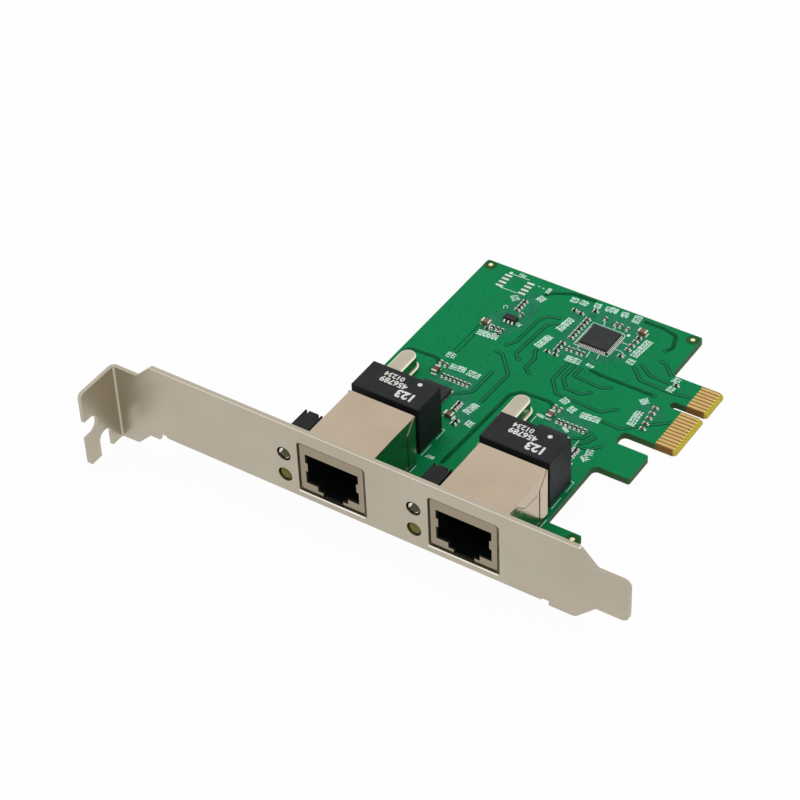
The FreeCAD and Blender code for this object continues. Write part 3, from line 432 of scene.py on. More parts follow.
def metal(name, slot, plain, worn, least, most, patches, relief=0.0, stretch=None):
    """Bare or plated metal with cloudy colour and uneven polish."""
    grain = (patches * 4.0, 2.0, relief) if relief else None
    skin(name, slot, colour(*plain), colour(*worn), (patches, 3.0, 0.3, 0.75),
         (patches * 3.0, 2.0, 0.3, 0.7, least, most), grain, stretch, Metallic=1.0)


def lay_painted_light(name, axis, low, high, tone, soft=SOFT_EDGE):
    """Lay painted light over a finish, a lighter or darker tone between two places on one axis."""
    tree = FINISH[name][0].node_tree
    shader = tree.nodes["Principled BSDF"]
    plain = shader.inputs["Base Color"].links[0].from_socket
    band = between(tree, axes(tree)[axis], low, high, soft)
    set_inputs(shader, Base_Color=blend(tree, band, plain, colour(*tone)))


for metal_row in METALS:
    metal(*metal_row)
for painted_light_row in PAINTED_LIGHT_BANDS:
    lay_painted_light(*painted_light_row)
print("metals", len(METALS), "bands", len(PAINTED_LIGHT_BANDS))

# %% [markdown]
# ## Plastics, ceramics and resins
#
# Port inserts and transformer cases are black plastic with the fine grain of the mould. The chips are a
# softer grey moulding, and the small parts are tan or dark ceramic with a slight sheen. Lights are tinted
# resin. Ink is matt, so it is made with the same function.

# %% Plastic, ceramic and resin materials
# Name, slot, two colours, least and most roughness, grains per metre and gloss
MOULDINGS = [
    ("black_insert", "black_plastic", (10, 12, 12), (16, 18, 18), 0.4, 0.5, 2500.0, 0.12),
    ("transformer_case", "case", (34, 35, 37), (41, 42, 44), 0.45, 0.58, 2500.0, 0.12),
    ("holder_plastic", "black_plastic", (30, 29, 29), (38, 37, 37), 0.4, 0.5, 2500.0, 0.12),
    ("chip_moulding", "chip", (48, 49, 50), (56, 57, 57), 0.5, 0.62, 2500.0, 0.12),
    ("tan_ceramic", "capacitor", (96, 70, 50), (132, 104, 78), 0.35, 0.5, 1200.0, 0.2),
    ("dark_ceramic", "resistor", (20, 20, 22), (30, 30, 32), 0.35, 0.5, 1200.0, 0.2),
    ("white_ink", None, (214, 246, 232), (196, 234, 216), 0.5, 0.6, 1800.0, 0.2),
    ("case_print", None, (236, 236, 232), (218, 218, 214), 0.5, 0.6, 1800.0, 0.2),
    # Painted highlight: near-white leaves at the rim of each upper lens.
    ("painted_highlight_leaf", None, (250, 250, 246), (240, 240, 232), 0.2, 0.3, 2500.0, 0.5),
]
GRAIN_DEPTH = 0.000006
RESIN_DIM = 0.7
RESIN = {"Transmission_Weight": 0.08, "Specular_IOR_Level": 0.12, "IOR": 1.5}


def moulded(name, slot, plain, other, least, most, grain, gloss):
    """Moulded surface with a fine grain and a faint drift in colour."""
    skin(name, slot, colour(*plain), colour(*other), (grain / 6.0, 3.0, 0.3, 0.7),
         (grain, 2.0, 0.3, 0.7, least, most), (grain, 3.0, GRAIN_DEPTH), Specular_IOR_Level=gloss)


def resin(name, slot, tint):
    """Tinted clear resin."""
    dimmed = (*[part * RESIN_DIM for part in tint[:3]], 1.0)
    skin(name, slot, tint, dimmed, (900.0, 2.0, 0.3, 0.7, 0.0, 0.4), (1500.0, 2.0, 0.3, 0.7, 0.06, 0.12),
         **RESIN)


for moulded_row in MOULDINGS:
    moulded(*moulded_row)
resin("clear_resin", "clear_lens", colour(84, 82, 56))
resin("olive_resin", "amber_lens", colour(122, 118, 46))
print("finishes in all", len(FINISH))

# %% [markdown]
# ## Finish for each solid
#
# The solids already have the right shape, so most of them only need their finish. The table names the
# finish for each family of solids, and a loop hands it out.

# %% Hand out the finishes
FINISH_OF = {
    "circuit_board": "board_lacquer",
    "_contacts": "gold_plate",
    "bracket_screws": "screw_steel",
    "bracket": "satin_nickel",
    "shield": "tinned_sheet",
    "housing": "black_insert",
    "_case": "transformer_case",
    "holder": "holder_plastic",
    "upper_lens": "clear_resin",
    "lower_lens": "olive_resin",
    "_can": "polished_can",
    "_body": "chip_moulding",
    "capacitor_bodies": "tan_ceramic",
    "resistor_bodies": "dark_ceramic",
    "sighting_marks": "pale_gold",
}


def finish_for(node):
    """The first finish whose words are in the node's name, else tinned metal."""
    return next((finish for words, finish in FINISH_OF.items() if words in node), "tinned_lead")


for name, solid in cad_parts.items():
    solid.data.materials.clear()
    solid.data.materials.append(FINISH[finish_for(name)][0])
print("finished", len(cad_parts), "solids")

# %% [markdown]
# ## Eased edges
#
# Nothing pressed, stamped or moulded has a knife edge: sheet steel leaves the press with a small radius and
# a mould rounds plastic a little. That radius catches light, so a sharp model looks wrong at once. Each
# copy below is merged into a clean mesh, and its sharp edges are rounded with a small bevel. A bevel in
# mesh code is used because the edges can be picked by their angle, and it leaves flat faces flat.

# %% Copies with rounded edges
MERGE = 0.000001
FLAT_ANGLE = math.radians(0.5)
SHARP_ANGLE = math.radians(40.0)
BEVEL_STEPS = 2
EASED = {
    "bracket": 0.16,
    "port_%d_shield": 0.14,
    "port_%d_housing": 0.1,
    "bracket_screws": 0.1,
    "transformer_%d_case": 0.18,
    "light_%d_holder": 0.15,
    "main_chip_body": 0.08,
    "lan_chip_%d_body": 0.08,
}


def add_piece(name, mesh, finish, *replaced):
    """Put a mesh in the scene as a piece of the card."""
    material, slot = FINISH[finish]
    mesh.materials.clear()
    mesh.materials.append(material)
    piece = put(name, mesh)
    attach(piece, "root")
    if replaced:
        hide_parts(*replaced)
    return piece


def merged(node):
    """A working copy of a solid's mesh with its shared points merged."""
    work = bmesh.new()
    work.from_mesh(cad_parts[node].data)
    bmesh.ops.remove_doubles(work, verts=work.verts, dist=MERGE)
    return work


def to_mesh(work, name):
    """End the work on a mesh and hand it back as plain data."""
    mesh = bpy.data.meshes.new(name)
    work.to_mesh(mesh)
    work.free()
    return mesh


def eased_mesh(node, width):
    """A merged copy of a solid's mesh with its sharp edges rounded."""
    work = merged(node)
    bmesh.ops.dissolve_limit(work, angle_limit=FLAT_ANGLE, verts=work.verts, edges=work.edges)
    sharp = [edge for edge in work.edges if edge.is_manifold and edge.calc_face_angle() > SHARP_ANGLE]
    bmesh.ops.bevel(work, geom=sharp, offset=width * MM, offset_type="OFFSET",
                    segments=BEVEL_STEPS, profile=0.5, affect="EDGES", clamp_overlap=True)
    return to_mesh(work, node + "_eased")


def nodes_of(pattern):
    """Nodes that a pattern names: one beside each port where it has a number, else just the one."""
    return [pattern % number for number in (1, 2)] if "%" in pattern else [pattern]


for pattern, width in EASED.items():
    for node in nodes_of(pattern):
        piece = add_piece(node + "_eased", eased_mesh(node, width), finish_for(node), node)
        print(piece.name, len(piece.data.polygons), "faces")

# %% [markdown]
# ## A tree that lays ribbons
#
# Copper tracks, printed lines and gold stubs are all thin ribbons along a route. Geometry Nodes suit
# them: the routes are drawn once as edges, and the tree turns them into curves, rounds their corners and
# sweeps a flat rectangle along them. Width, height and corner radius are inputs of the tree, so the same
# tree serves every ribbon on the card.

# %% Ribbon tree
SPAN_NAME = "span"
SKIN = 0.012
BEND_STEPS = 4


def start_tree(name, sizes):
    """A Geometry Nodes tree with a geometry input and output and named inputs for its sizes."""
    tree = bpy.data.node_groups.new(name, "GeometryNodeTree")
    for label, kind in {"Geometry": "Geometry", **sizes, "Finish": "Material"}.items():
        tree.interface.new_socket(label, in_out="INPUT", socket_type="NodeSocket" + kind)
    tree.interface.new_socket("Geometry", in_out="OUTPUT", socket_type="NodeSocketGeometry")
    return tree, tree.nodes.new("NodeGroupInput").outputs


def end_tree(tree, geometry, finish):
    """Realize the instances, set the material and hand the geometry out."""
    real = add_node(tree, "GeometryNodeRealizeInstances", Geometry=geometry).outputs[0]
    done = add_node(tree, "GeometryNodeSetMaterial", Geometry=real, Material=finish).outputs[0]
    tree.links.new(done, tree.nodes.new("NodeGroupOutput").inputs[0])
    print("tree", tree.name, "has", len(tree.nodes), "nodes")
    return tree


def grown(name, verts, edges, tree, finish, sizes, spans=()):
    """Run a tree on a host of points and edges, and add the result as a piece with a plain mesh."""
    drawn = bpy.data.meshes.new(name + "_route")
    drawn.from_pydata(verts, edges, [])
    if spans:
        held = drawn.attributes.new(SPAN_NAME, "FLOAT_VECTOR", "POINT")
        for spot, value in zip(held.data, spans):
            spot.vector = value
    host = put(name + "_route", drawn)
    modifier = host.modifiers.new(tree.name, "NODES")
    modifier.node_group = tree
    sizes = {**sizes, "Finish": FINISH[finish][0]}
    for item in tree.interface.items_tree:
        if item.in_out == "INPUT" and item.name in sizes:
            modifier[item.identifier] = sizes[item.name]
    seen = host.evaluated_get(bpy.context.evaluated_depsgraph_get())
    mesh = bpy.data.meshes.new_from_object(seen)
    mesh.name = name
    if SPAN_NAME in mesh.attributes:
        mesh.attributes.remove(mesh.attributes[SPAN_NAME])
    host.modifiers.remove(modifier)
    bpy.data.objects.remove(host)
    return add_piece(name, mesh, finish)


def ribbon_tree():
    """Edges to curves, corners rounded, a flat rectangle swept along."""
    tree, given = start_tree("ribbons", {"Width": "Float", "Height": "Float", "Bend": "Float"})
    curve = add_node(tree, "GeometryNodeMeshToCurve", Mesh=given["Geometry"]).outputs[0]
    level = add_node(tree, "GeometryNodeSetCurveNormal", {"mode": "Z_UP"}, Curve=curve).outputs[0]
    bent = add_node(tree, "GeometryNodeFilletCurve", {"mode": "POLY"}, Curve=level, Radius=given["Bend"],
                    Count=BEND_STEPS, Limit_Radius=True).outputs[0]
    profile = add_node(tree, "GeometryNodeCurvePrimitiveQuadrilateral", {"mode": "RECTANGLE"},
                       Width=given["Width"], Height=given["Height"]).outputs[0]
    swept = add_node(tree, "GeometryNodeCurveToMesh", Curve=bent, Profile_Curve=profile,
                     Fill_Caps=True).outputs[0]
    return end_tree(tree, swept, given["Finish"])


RIBBONS = ribbon_tree()


def ribbons(name, routes, width, up, bend, finish, height=SKIN):
    """Ribbons along routes given in millimetres on the board, as a piece."""
    verts, edges = [], []
    for route in routes:
        first = len(verts)
        verts += [at(along, inward, up) for along, inward in route]
        edges += [(first + step, first + step + 1) for step in range(len(route) - 1)]
    sizes = {"Width": width * MM, "Height": height * MM, "Bend": bend * MM}
    return grown(name, verts, edges, RIBBONS, finish, sizes)


# %% [markdown]
# ## Tracks in the copper
#
# Most of the copper face is one flooded area. A track runs in a channel that is etched free of copper on
# both sides, and the lacquer looks darker over the two channels. So each track is two ribbons: a wide dark
# one for the channel and a narrower green one for the track that lies in it. Routes are drawn as short
# polylines, because a board's tracks are straight runs with bent corners.

# %% Track routes
SIGNAL_TRACKS = [
    [(57.9, 58.7), (59.1, 60.4), (59.5, 69.1), (60.6, 71.0), (63.4, 71.9)],
    [(62.5, 55.8), (61.0, 57.2), (61.8, 68.1), (62.8, 69.6), (64.0, 70.1)],
    [(66.6, 53.2), (65.1, 54.3), (65.2, 58.1), (64.1, 59.8), (64.2, 61.0)],
    [(72.0, 60.4), (71.8, 54.0), (74.6, 50.6), (85.4, 50.2), (87.6, 52.6)],
    [(73.6, 60.4), (73.4, 55.6), (75.6, 53.0), (79.0, 52.9), (80.5, 54.4)],
    [(75.1, 60.4), (75.0, 57.2), (81.8, 56.8), (83.2, 57.8)],
    [(84.0, 66.2), (87.4, 62.9), (94.8, 62.7), (98.9, 63.4)],
    [(85.0, 67.6), (88.4, 65.3), (93.0, 65.1)],
    [(57.3, 55.8), (58.8, 55.6), (63.2, 50.6), (62.9, 40.4)],
    [(59.9, 49.4), (59.7, 42.4), (56.5, 39.4)],
    [(86.7, 47.9), (91.2, 47.8), (95.3, 51.5), (99.0, 54.6)],
    [(84.3, 40.4), (86.1, 41.3), (86.9, 43.6)],
    [(86.0, 39.5), (87.6, 41.0), (88.2, 42.9)],
    [(86.3, 38.9), (89.1, 39.3), (90.4, 41.1)],
    [(88.4, 70.4), (89.6, 70.1), (92.3, 67.3)],
]
FEED_TRACKS = [
    [(76.8, 60.6), (79.6, 60.2), (92.2, 60.2)],
    [(78.9, 80.1), (83.5, 80.1), (87.0, 79.2), (88.2, 75.2), (87.2, 73.8)],
    [(55.8, 76.4), (57.6, 78.4), (61.5, 80.5), (67.0, 80.7)],
    [(65.8, 20.7), (66.7, 45.4), (68.4, 47.4), (75.1, 47.8), (76.4, 46.6), (76.2, 43.3)],
    [(40.1, 45.6), (41.2, 47.4), (47.6, 47.8), (48.9, 46.6), (48.7, 43.3)],
]
FINE_TRACKS = [
    [(49.3, 51.6), (49.5, 61.8)],
    [(49.9, 49.9), (50.4, 51.6), (50.5, 61.0)],
]
OVER_GAP = "lacquer_over_gap"
OVER_LAMINATE = "lacquer_over_laminate"

# %% Lay the tracks
CHANNEL_UP = SKIN
TRACK_UP = 0.022
CHANNEL_WIDE = 0.92
TRACK_WIDE = 0.42
BEND = 0.5
# Name, routes, width, height, bend and finish
LAID = [
    ("signal_channels", SIGNAL_TRACKS, CHANNEL_WIDE, CHANNEL_UP, BEND, OVER_GAP),
    ("signal_tracks", SIGNAL_TRACKS, TRACK_WIDE, TRACK_UP, BEND, OVER_LAMINATE),
    ("feed_channels", FEED_TRACKS, 0.95, CHANNEL_UP, 1.2, OVER_GAP),
    ("fine_channels", FINE_TRACKS, 0.26, CHANNEL_UP, 0.3, OVER_GAP),
]
for laid_row in LAID:
    piece = ribbons(*laid_row)
    top = max(corner.co.z for corner in piece.data.vertices) / MM - BOARD_TOP
    print(piece.name, len(piece.data.polygons), "faces, up to", round(top, 3), "mm above the board")

# %% [markdown]
# ## Fields without copper
#
# Round the crowded parts the copper is taken away, and the lacquer over bare laminate is a little lighter
# and greyer. These fields are thin plates with rounded corners, lower than the tracks, so a track that
# enters a field is still seen. Such a plate is two rings of points with a strip between them, and so are
# the cans, lenses and highlight beads further on, so one helper joins rings for all of them.

# %% Fields round the parts
FIELD_UP = 0.004
FIELD_ROUND = 1.2
ROUND_STEPS = 5
ROUND_SHARE = 0.45
FIELDS = {
    "main_chip_field": [(66.4, 60.6), (66.0, 69.0), (63.6, 77.0), (69.5, 79.2), (77.4, 79.2), (82.2, 76.2),
                        (81.9, 68.0), (80.9, 66.2), (76.5, 61.9)],
    "regulator_field": [(49.2, 60.4), (49.8, 65.2), (51.9, 72.0), (53.2, 76.6), (55.6, 76.6), (57.6, 73.2),
                        (58.6, 66.0), (55.6, 60.0)],
    "port_1_field": [(50.0, 40.4), (50.6, 45.6), (58.6, 45.9), (59.2, 41.2), (62.3, 39.4), (64.9, 33.0),
                     (63.4, 31.4), (60.8, 32.0), (58.4, 38.2)],
    "port_2_field": [(77.4, 40.4), (76.7, 46.4), (80.6, 47.0), (86.4, 46.0), (86.6, 43.2), (82.0, 40.0)],
    "contact_field": [(90.6, 52.0), (91.6, 57.4), (94.9, 58.4), (97.4, 55.8), (94.4, 51.4)],
}


def rounded_outline(corners, radius):
    """Corner points replaced by short arcs."""
    points = []
    for index, corner in enumerate(corners):
        here = Vector(corner)
        back = Vector(corners[index - 1]) - here
        ahead = Vector(corners[(index + 1) % len(corners)]) - here
        reach = min(radius, back.length * ROUND_SHARE, ahead.length * ROUND_SHARE)
        first = here + back.normalized() * reach
        last = here + ahead.normalized() * reach
        for step in range(ROUND_STEPS + 1):
            share = step / ROUND_STEPS
            points.append(first.lerp(here, share).lerp(here.lerp(last, share), share))
    return points


def ringed_mesh(name, bodies, looped=False, smooth=False):
    """Closed bodies, each of rings of points joined one to the next and filled at the ends, or looped.

    A ring of a single point is a pole.
    """
    work = bmesh.new()
    for body in bodies:
        rings = [[work.verts.new(point) for point in ring] for ring in body]
        count = max(len(ring) for ring in rings)
        after = rings[1:] + rings[:1] if looped else rings[1:]
        for near, far in zip(rings, after):
            for index in range(count):
                ahead = index + 1
                corners = [near[index % len(near)], near[ahead % len(near)],
                           far[ahead % len(far)], far[index % len(far)]]
                work.faces.new(list(dict.fromkeys(corners)))
        ends = [] if looped else [rings[0], rings[-1]]
        for ring in ends:
            if len(ring) > 1:
                work.faces.new(ring)
    bmesh.ops.recalc_face_normals(work, faces=work.faces)
    for face in work.faces:
        face.smooth = smooth
    return to_mesh(work, name)


for name, corners in FIELDS.items():
    outline = rounded_outline(corners, FIELD_ROUND)
    plate = [[at(point.x, point.y, up) for point in outline] for up in (-FIELD_UP, FIELD_UP)]
    piece = add_piece(name, ringed_mesh(name, [plate]), OVER_LAMINATE)
    print(piece.name, len(piece.data.polygons), "faces")

# %% [markdown]
# ## A tree that sets dots
#
# Vias are plated holes that join the copper layers. At this size each is a dark dot, and there are
# hundreds of them, so the tree sets one low disc on every point of its host. Instances keep the tree light,
# and they are realized at the end because the discs have to be plain faces in the finished piece.

# %% Dot tree
def dot_tree():
    """A disc on every point."""
    tree, given = start_tree("dots", {"Radius": "Float", "Height": "Float", "Sides": "Int"})
    disc = add_node(tree, "GeometryNodeMeshCylinder", Vertices=given["Sides"], Radius=given["Radius"],
                    Depth=given["Height"]).outputs[0]
    placed = add_node(tree, "GeometryNodeInstanceOnPoints", Points=given["Geometry"], Instance=disc)
    return end_tree(tree, placed.outputs[0], given["Finish"])


DOTS = dot_tree()


def dots(name, places, radius, up, sides, finish):
    """Low discs at places given in millimetres, as a piece."""
    verts = [at(along, inward, up) for along, inward in places]
    return grown(name, verts, [], DOTS, finish, {"Radius": radius * MM, "Height": SKIN * MM, "Sides": sides})


# %% [markdown]
# ## Vias
#
# Every signal track ends in a via with a channel round its pad. Many more vias stitch the flooded copper of
# the two faces together, in loose rows. Their rows are shaken a little with a fixed seed, and a spot is
# skipped where a part or a track already is, as a board designer would.

# %% Places of the vias
STITCH_PITCH = 3.1
STITCH_SHAKE = 1.1
STITCH_CLEAR = 1.3
STITCH_SEED = 11
BOARD_SPAN = ((41.2, 2.4), (90.6, 80.2))
VIAS_AT_START = (0, 1, 2, 8, 9, 14)
VIAS_AT_END = (3, 4, 5, 10, 13)
MORE_VIAS = [(92.2, 60.2), (87.2, 73.8), (88.2, 42.9), (86.9, 43.6), (93.0, 65.1)]
NO_VIA_UNDER = ("shield", "case", "holder", "can", "chip", "regulator_body")

via_places = [SIGNAL_TRACKS[number][0] for number in VIAS_AT_START]
via_places += [SIGNAL_TRACKS[number][-1] for number in VIAS_AT_END] + MORE_VIAS


def taken_places():
    """Points in millimetres that a stitching via keeps away from."""
    points = []
    for name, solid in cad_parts.items():
        if name not in ("circuit_board", "bracket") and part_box(name)[1].z / MM >= BOARD_TOP + 0.01:
            points += [vertex.co.xy / MM for vertex in solid.data.vertices]
    for route in SIGNAL_TRACKS + FEED_TRACKS:
        for start, end in zip(route, route[1:]):
            start, end = at(*start).xy / MM, at(*end).xy / MM
            steps = max(1, round((end - start).length))
            points += [start.lerp(end, step / steps) for step in range(steps + 1)]
    return points


def under_a_part(spot):
    """True under a port, a transformer, a light or a chip."""
    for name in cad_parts:
        if any(words in name for words in NO_VIA_UNDER):
            low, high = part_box(name)
            if low.x < spot.x < high.x and low.y < spot.y < high.y:
                return True
    return False


def stitch_places():
    """Shaken rows of free places."""
    taken = taken_places()
    tree = KDTree(len(taken))
    for index, point in enumerate(taken):
        tree.insert((*point, 0.0), index)
    tree.balance()
    shake = random.Random(STITCH_SEED)
    first, last = BOARD_SPAN
    columns, rows = (int((far - near) / STITCH_PITCH) for near, far in zip(first, last))
    places = []
    for row in range(rows):
        for column in range(columns):
            along = first[0] + column * STITCH_PITCH + shake.uniform(-STITCH_SHAKE, STITCH_SHAKE)
            inward = first[1] + row * STITCH_PITCH + shake.uniform(-STITCH_SHAKE, STITCH_SHAKE)
            spot = at(along, inward)
            if not under_a_part(spot) and tree.find((*spot.xy / MM, 0.0))[2] >= STITCH_CLEAR:
                places.append((along, inward))
    return places


stitches = stitch_places()
print("vias at track ends", len(via_places), "and stitching", len(stitches))

# %% Lay the vias
# Name, places, radius, height, sides and finish
VIA_LAYERS = [
    ("via_channels", via_places, 0.58, CHANNEL_UP - 0.001, 16, OVER_GAP),
    ("via_pads", via_places, 0.36, TRACK_UP + 0.002, 14, OVER_LAMINATE),
    ("via_holes", via_places, 0.13, TRACK_UP + 0.008, 10, OVER_GAP),
    ("stitching_vias", stitches, 0.17, 0.004, 8, OVER_GAP),
]


def lay_vias(prefix, base, sign):
    """The vias' layers on one face of the board, measured from its height and outwards."""
    for name, places, radius, up, sides, finish in VIA_LAYERS:
        piece = dots(prefix + name, places, radius, base + sign * up, sides, finish)
        print(piece.name, len(piece.data.polygons), "faces")


lay_vias("", 0.0, 1)

# %% [markdown]
# ## Gold stubs at the fingers
#
# While the contacts are plated they hang on a common bar past the edge of the card. The bar is milled off
# with the bevel, and a thin stub of gold stays at the end of each contact. The stubs are laid from the ends
# of the real contacts, found in the solid's own points, so they always line up.

# %% Stubs
STUB_LONG = 0.42
STUB_WIDE = 0.36
STUB_HIGH = 0.03
STUB_LAP = 0.02

contact_points = [vertex.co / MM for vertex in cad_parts["edge_contacts_top"].data.vertices]
contact_end = max(point.x for point in contact_points) + TAB_TO_FINGER
sides = sorted({round(point.y, 2) for point in contact_points})
middles = [(low + high) / 2 + KEY_TO_FACE for low, high in zip(sides[0::2], sides[1::2])]
stub_routes = [[(contact_end - STUB_LAP, middle), (contact_end + STUB_LONG, middle)] for middle in middles]
ribbons("contact_stubs", stub_routes, STUB_WIDE, STUB_HIGH / 2, 0.0, "bright_stub", STUB_HIGH)
print("stubs", len(stub_routes), "at", [round(middle, 2) for middle in middles[:3]])

# %% [markdown]
# ## The underside
#
# Vias go right through, so the same places show on the lower face. The lower copper carries the long runs
# that have no room above, from the chips to the ports and to the fingers. They are laid with the same two
# trees, measured down from the board's top by its thickness.

# %% Tracks and vias below
LOWER_TRACKS = [
    [(57.9, 58.7), (54.0, 54.6), (53.6, 34.0), (57.0, 30.6), (57.0, 25.4)],
    [(62.5, 55.8), (60.2, 53.2), (60.0, 48.4), (64.0, 44.0), (64.2, 24.0), (66.0, 21.6)],
    [(66.6, 53.2), (69.4, 50.2), (69.6, 30.4), (74.0, 26.0), (80.0, 25.8)],
    [(80.5, 54.4), (84.6, 50.4), (84.8, 36.0), (86.4, 33.8), (86.4, 26.4)],
    [(83.2, 57.8), (88.6, 52.6), (92.6, 52.6), (96.2, 56.0), (98.6, 56.2)],
    [(87.6, 52.6), (90.4, 50.4), (96.4, 50.2), (98.4, 52.0)],
    [(93.0, 65.1), (90.6, 67.4), (78.0, 67.2), (72.0, 73.4), (58.6, 73.6)],
    [(87.2, 73.8), (82.6, 76.6), (60.6, 76.8), (54.0, 70.4), (46.4, 70.2)],
    [(47.8, 52.6), (47.6, 28.4), (50.6, 25.4), (54.2, 25.4)],
]
ribbons("lower_channels", LOWER_TRACKS, CHANNEL_WIDE, -BOARD_THICK - CHANNEL_UP, BEND, OVER_GAP)
ribbons("lower_tracks", LOWER_TRACKS, TRACK_WIDE, -BOARD_THICK - TRACK_UP, BEND, OVER_LAMINATE)
lay_vias("lower_", -BOARD_THICK, -1)
print("lower tracks", len(LOWER_TRACKS))

# %% [markdown]
# ## A tree that sets blocks
#
# Capacitors and resistors are small bricks with tinned ends, and the board carries dozens of them. The
# larger ones are solids of the frame already. The third tree sets a box on every point of its host, as large
# as a vector that the point carries, so one host can hold bricks of any size, lengthwise or across.

# %% Block tree
def block_tree():
    """A box on every point, as large as the point's own span."""
    tree, given = start_tree("blocks", {})
    cube = add_node(tree, "GeometryNodeMeshCube", Size=(1.0, 1.0, 1.0)).outputs[0]
    own = add_node(tree, "GeometryNodeInputNamedAttribute", {"data_type": "FLOAT_VECTOR"}, Name=SPAN_NAME)
    placed = add_node(tree, "GeometryNodeInstanceOnPoints", Points=given["Geometry"], Instance=cube,
                      Scale=own.outputs[0]).outputs[0]
    return end_tree(tree, placed, given["Finish"])


BLOCKS = block_tree()


def blocks(name, boxes, finish):
    """Boxes, each given by its lowest and highest corner, as a piece."""
    middles = [(low + high) / 2 for low, high in boxes]
    return grown(name, middles, [], BLOCKS, finish, {}, [high - low for low, high in boxes])


# %% [markdown]
# ## More small parts
#
# Between the small parts of the frame stand more of the same kind, packed so that neighbours nearly touch.
# They are laid in rows, each with its first middle, the step to the next, the count, and whether its parts
# lie along the card. A part is a dark brick with two tinned ends.

# %% Rows of small parts
PART_LONG = 1.1
PART_WIDE = 0.55
PART_HIGH = 0.42
PART_END = 0.27
ROWS = [
    ((68.4, 68.575), (0.0, 2.35), 3, True),
    ((66.4, 61.0), (1.9, 0.0), 2, True),
    ((69.6, 64.05), (3.55, 0.0), 2, False),
    ((80.7, 74.6), (0.0, 0.0), 1, True),
    ((66.2, 75.4), (0.0, 0.0), 1, True),
    ((52.5, 61.9), (1.1, 0.0), 3, False),
    ((53.95, 70.6), (0.0, 2.2), 2, True),
    ((61.7, 33.0), (0.0, -1.2), 2, True),
    ((59.4, 36.35), (0.0, 1.5), 2, True),
    ((86.87, 36.35), (0.0, 1.5), 2, True),
]


def part_boxes(rows):
    """Bricks and ends of rows of small parts, each as its lowest and highest corner."""
    bricks, ends = [], []
    shift = (PART_LONG - PART_END) / 2
    pieces = ((0.0, PART_LONG - 2 * PART_END, bricks), (-shift, PART_END, ends), (shift, PART_END, ends))
    for first, step, count, lengthwise in rows:
        run = Vector((1.0, 0.0)) if lengthwise else Vector((0.0, 1.0))
        side = run.yx * PART_WIDE / 2
        for number in range(count):
            for place, long, held in pieces:
                spot = Vector(first) + Vector(step) * number + run * place
                reach = run * long / 2 + side
                held.append((at(*(spot - reach)), at(*(spot + reach), PART_HIGH)))
    return bricks, ends


more_bricks, more_ends = part_boxes(ROWS)
blocks("more_part_bricks", more_bricks, "dark_ceramic")
blocks("more_part_ends", more_ends, "tinned_lead")
print("small parts added", len(more_bricks))

# %% [markdown]
# ## Solder pads under the small parts
#
# Each tinned end is soldered to a pad a little longer than the end itself, and the bright rim of solder that
# stands out is what makes a small part look fixed to its board. The ends of the frame's own parts are found
# as the separate islands of their mesh, so the pads follow them.

# %% Solder pads
PAD_REACH = 0.19
PAD_SIDE = 0.03
PAD_HIGH = 0.04


def corners_of(points):
    """Lowest and highest corner of some points."""
    places = list(zip(*points))
    return Vector([min(place) for place in places]), Vector([max(place) for place in places])


def islands(node):
    """Lowest and highest corner of each separate island of a solid's mesh, in the order of its points."""
    work = merged(node)
    seen = set()
    boxes = []
    for first in work.verts:
        if first in seen:
            continue
        seen.add(first)
        reached = [first]
        for vertex in reached:
            others = {edge.other_vert(vertex) for edge in vertex.link_edges} - seen
            seen |= others
            reached += others
        boxes.append(corners_of(vertex.co for vertex in reached))
    work.free()
    return boxes


def pad_box(low, high):
    """A low pad that stands out past an end along its part, and a little at the sides."""
    lengthwise = high.x - low.x < high.y - low.y
    reach = Vector((PAD_REACH, PAD_SIDE, 0.0) if lengthwise else (PAD_SIDE, PAD_REACH, 0.0)) * MM
    return low - reach, Vector((high.x, high.y, low.z + PAD_HIGH * MM)) + reach


soldered_ends = islands("capacitor_ends") + islands("resistor_ends") + more_ends
blocks("solder_pads", [pad_box(low, high) for low, high in soldered_ends], "reflowed_solder")
print("solder pads", len(soldered_ends))

# %% [markdown]
# ## Rings round the sighting marks
#
# The machine that places the parts sights on three small gold discs. Round each one the lacquer and the
# copper are held back, so the disc sits in a dark ring of bare laminate that a camera can find.

# %% Mark rings
RING = 1.5
RING_UP = 0.002
RING_SIDES = 28
BOARD_END = 81.4
MARKS = [(40.87, 80.07), (90.55, 79.86), (99.0, 15.46)]
ring_places = [(along, min(inward, BOARD_END - RING)) for along, inward in MARKS]
dots("mark_rings", ring_places, RING, RING_UP, RING_SIDES, "bare_ring")
print("mark rings", len(ring_places))

# %% [markdown]
# ## Printed lines
#
# White ink outlines the chips and marks the first pin of each. The ribbon tree lays these lines too, a
# little above the lacquer and thinner than a track.

# %% Print lines and dots
INK_UP = 0.03
INK_LINE = 0.2
INK_DOT = 0.42
INK_DOT_SIDES = 14
PORT_STEP = 30.1
INK_LINES = [
    [(69.8, 66.1), (69.8, 74.3), (77.1, 74.3), (77.85, 73.6), (77.85, 66.1), (69.7, 66.1)],
    [(46.5, 79.6), (50.9, 79.7)],
    [(46.5, 74.5), (50.8, 74.5)],
    [(71.9, 75.7), (72.2, 74.5)],
    [(74.6, 75.4), (74.7, 74.5)],
    [(78.0, 71.6), (79.6, 71.6)],
    [(71.3, 65.9), (71.2, 64.9)],
    [(73.9, 65.9), (74.2, 63.6)],
    [(76.1, 65.9), (76.4, 64.2)],
    [(78.1, 68.9), (79.4, 69.0), (81.0, 68.1)],
    [(51.1, 68.6), (50.7, 69.4), (51.2, 69.9), (51.8, 69.1)],
    [(53.5, 78.9), (54.1, 78.8)],
    [(54.6, 78.8), (55.2, 78.7)],
]
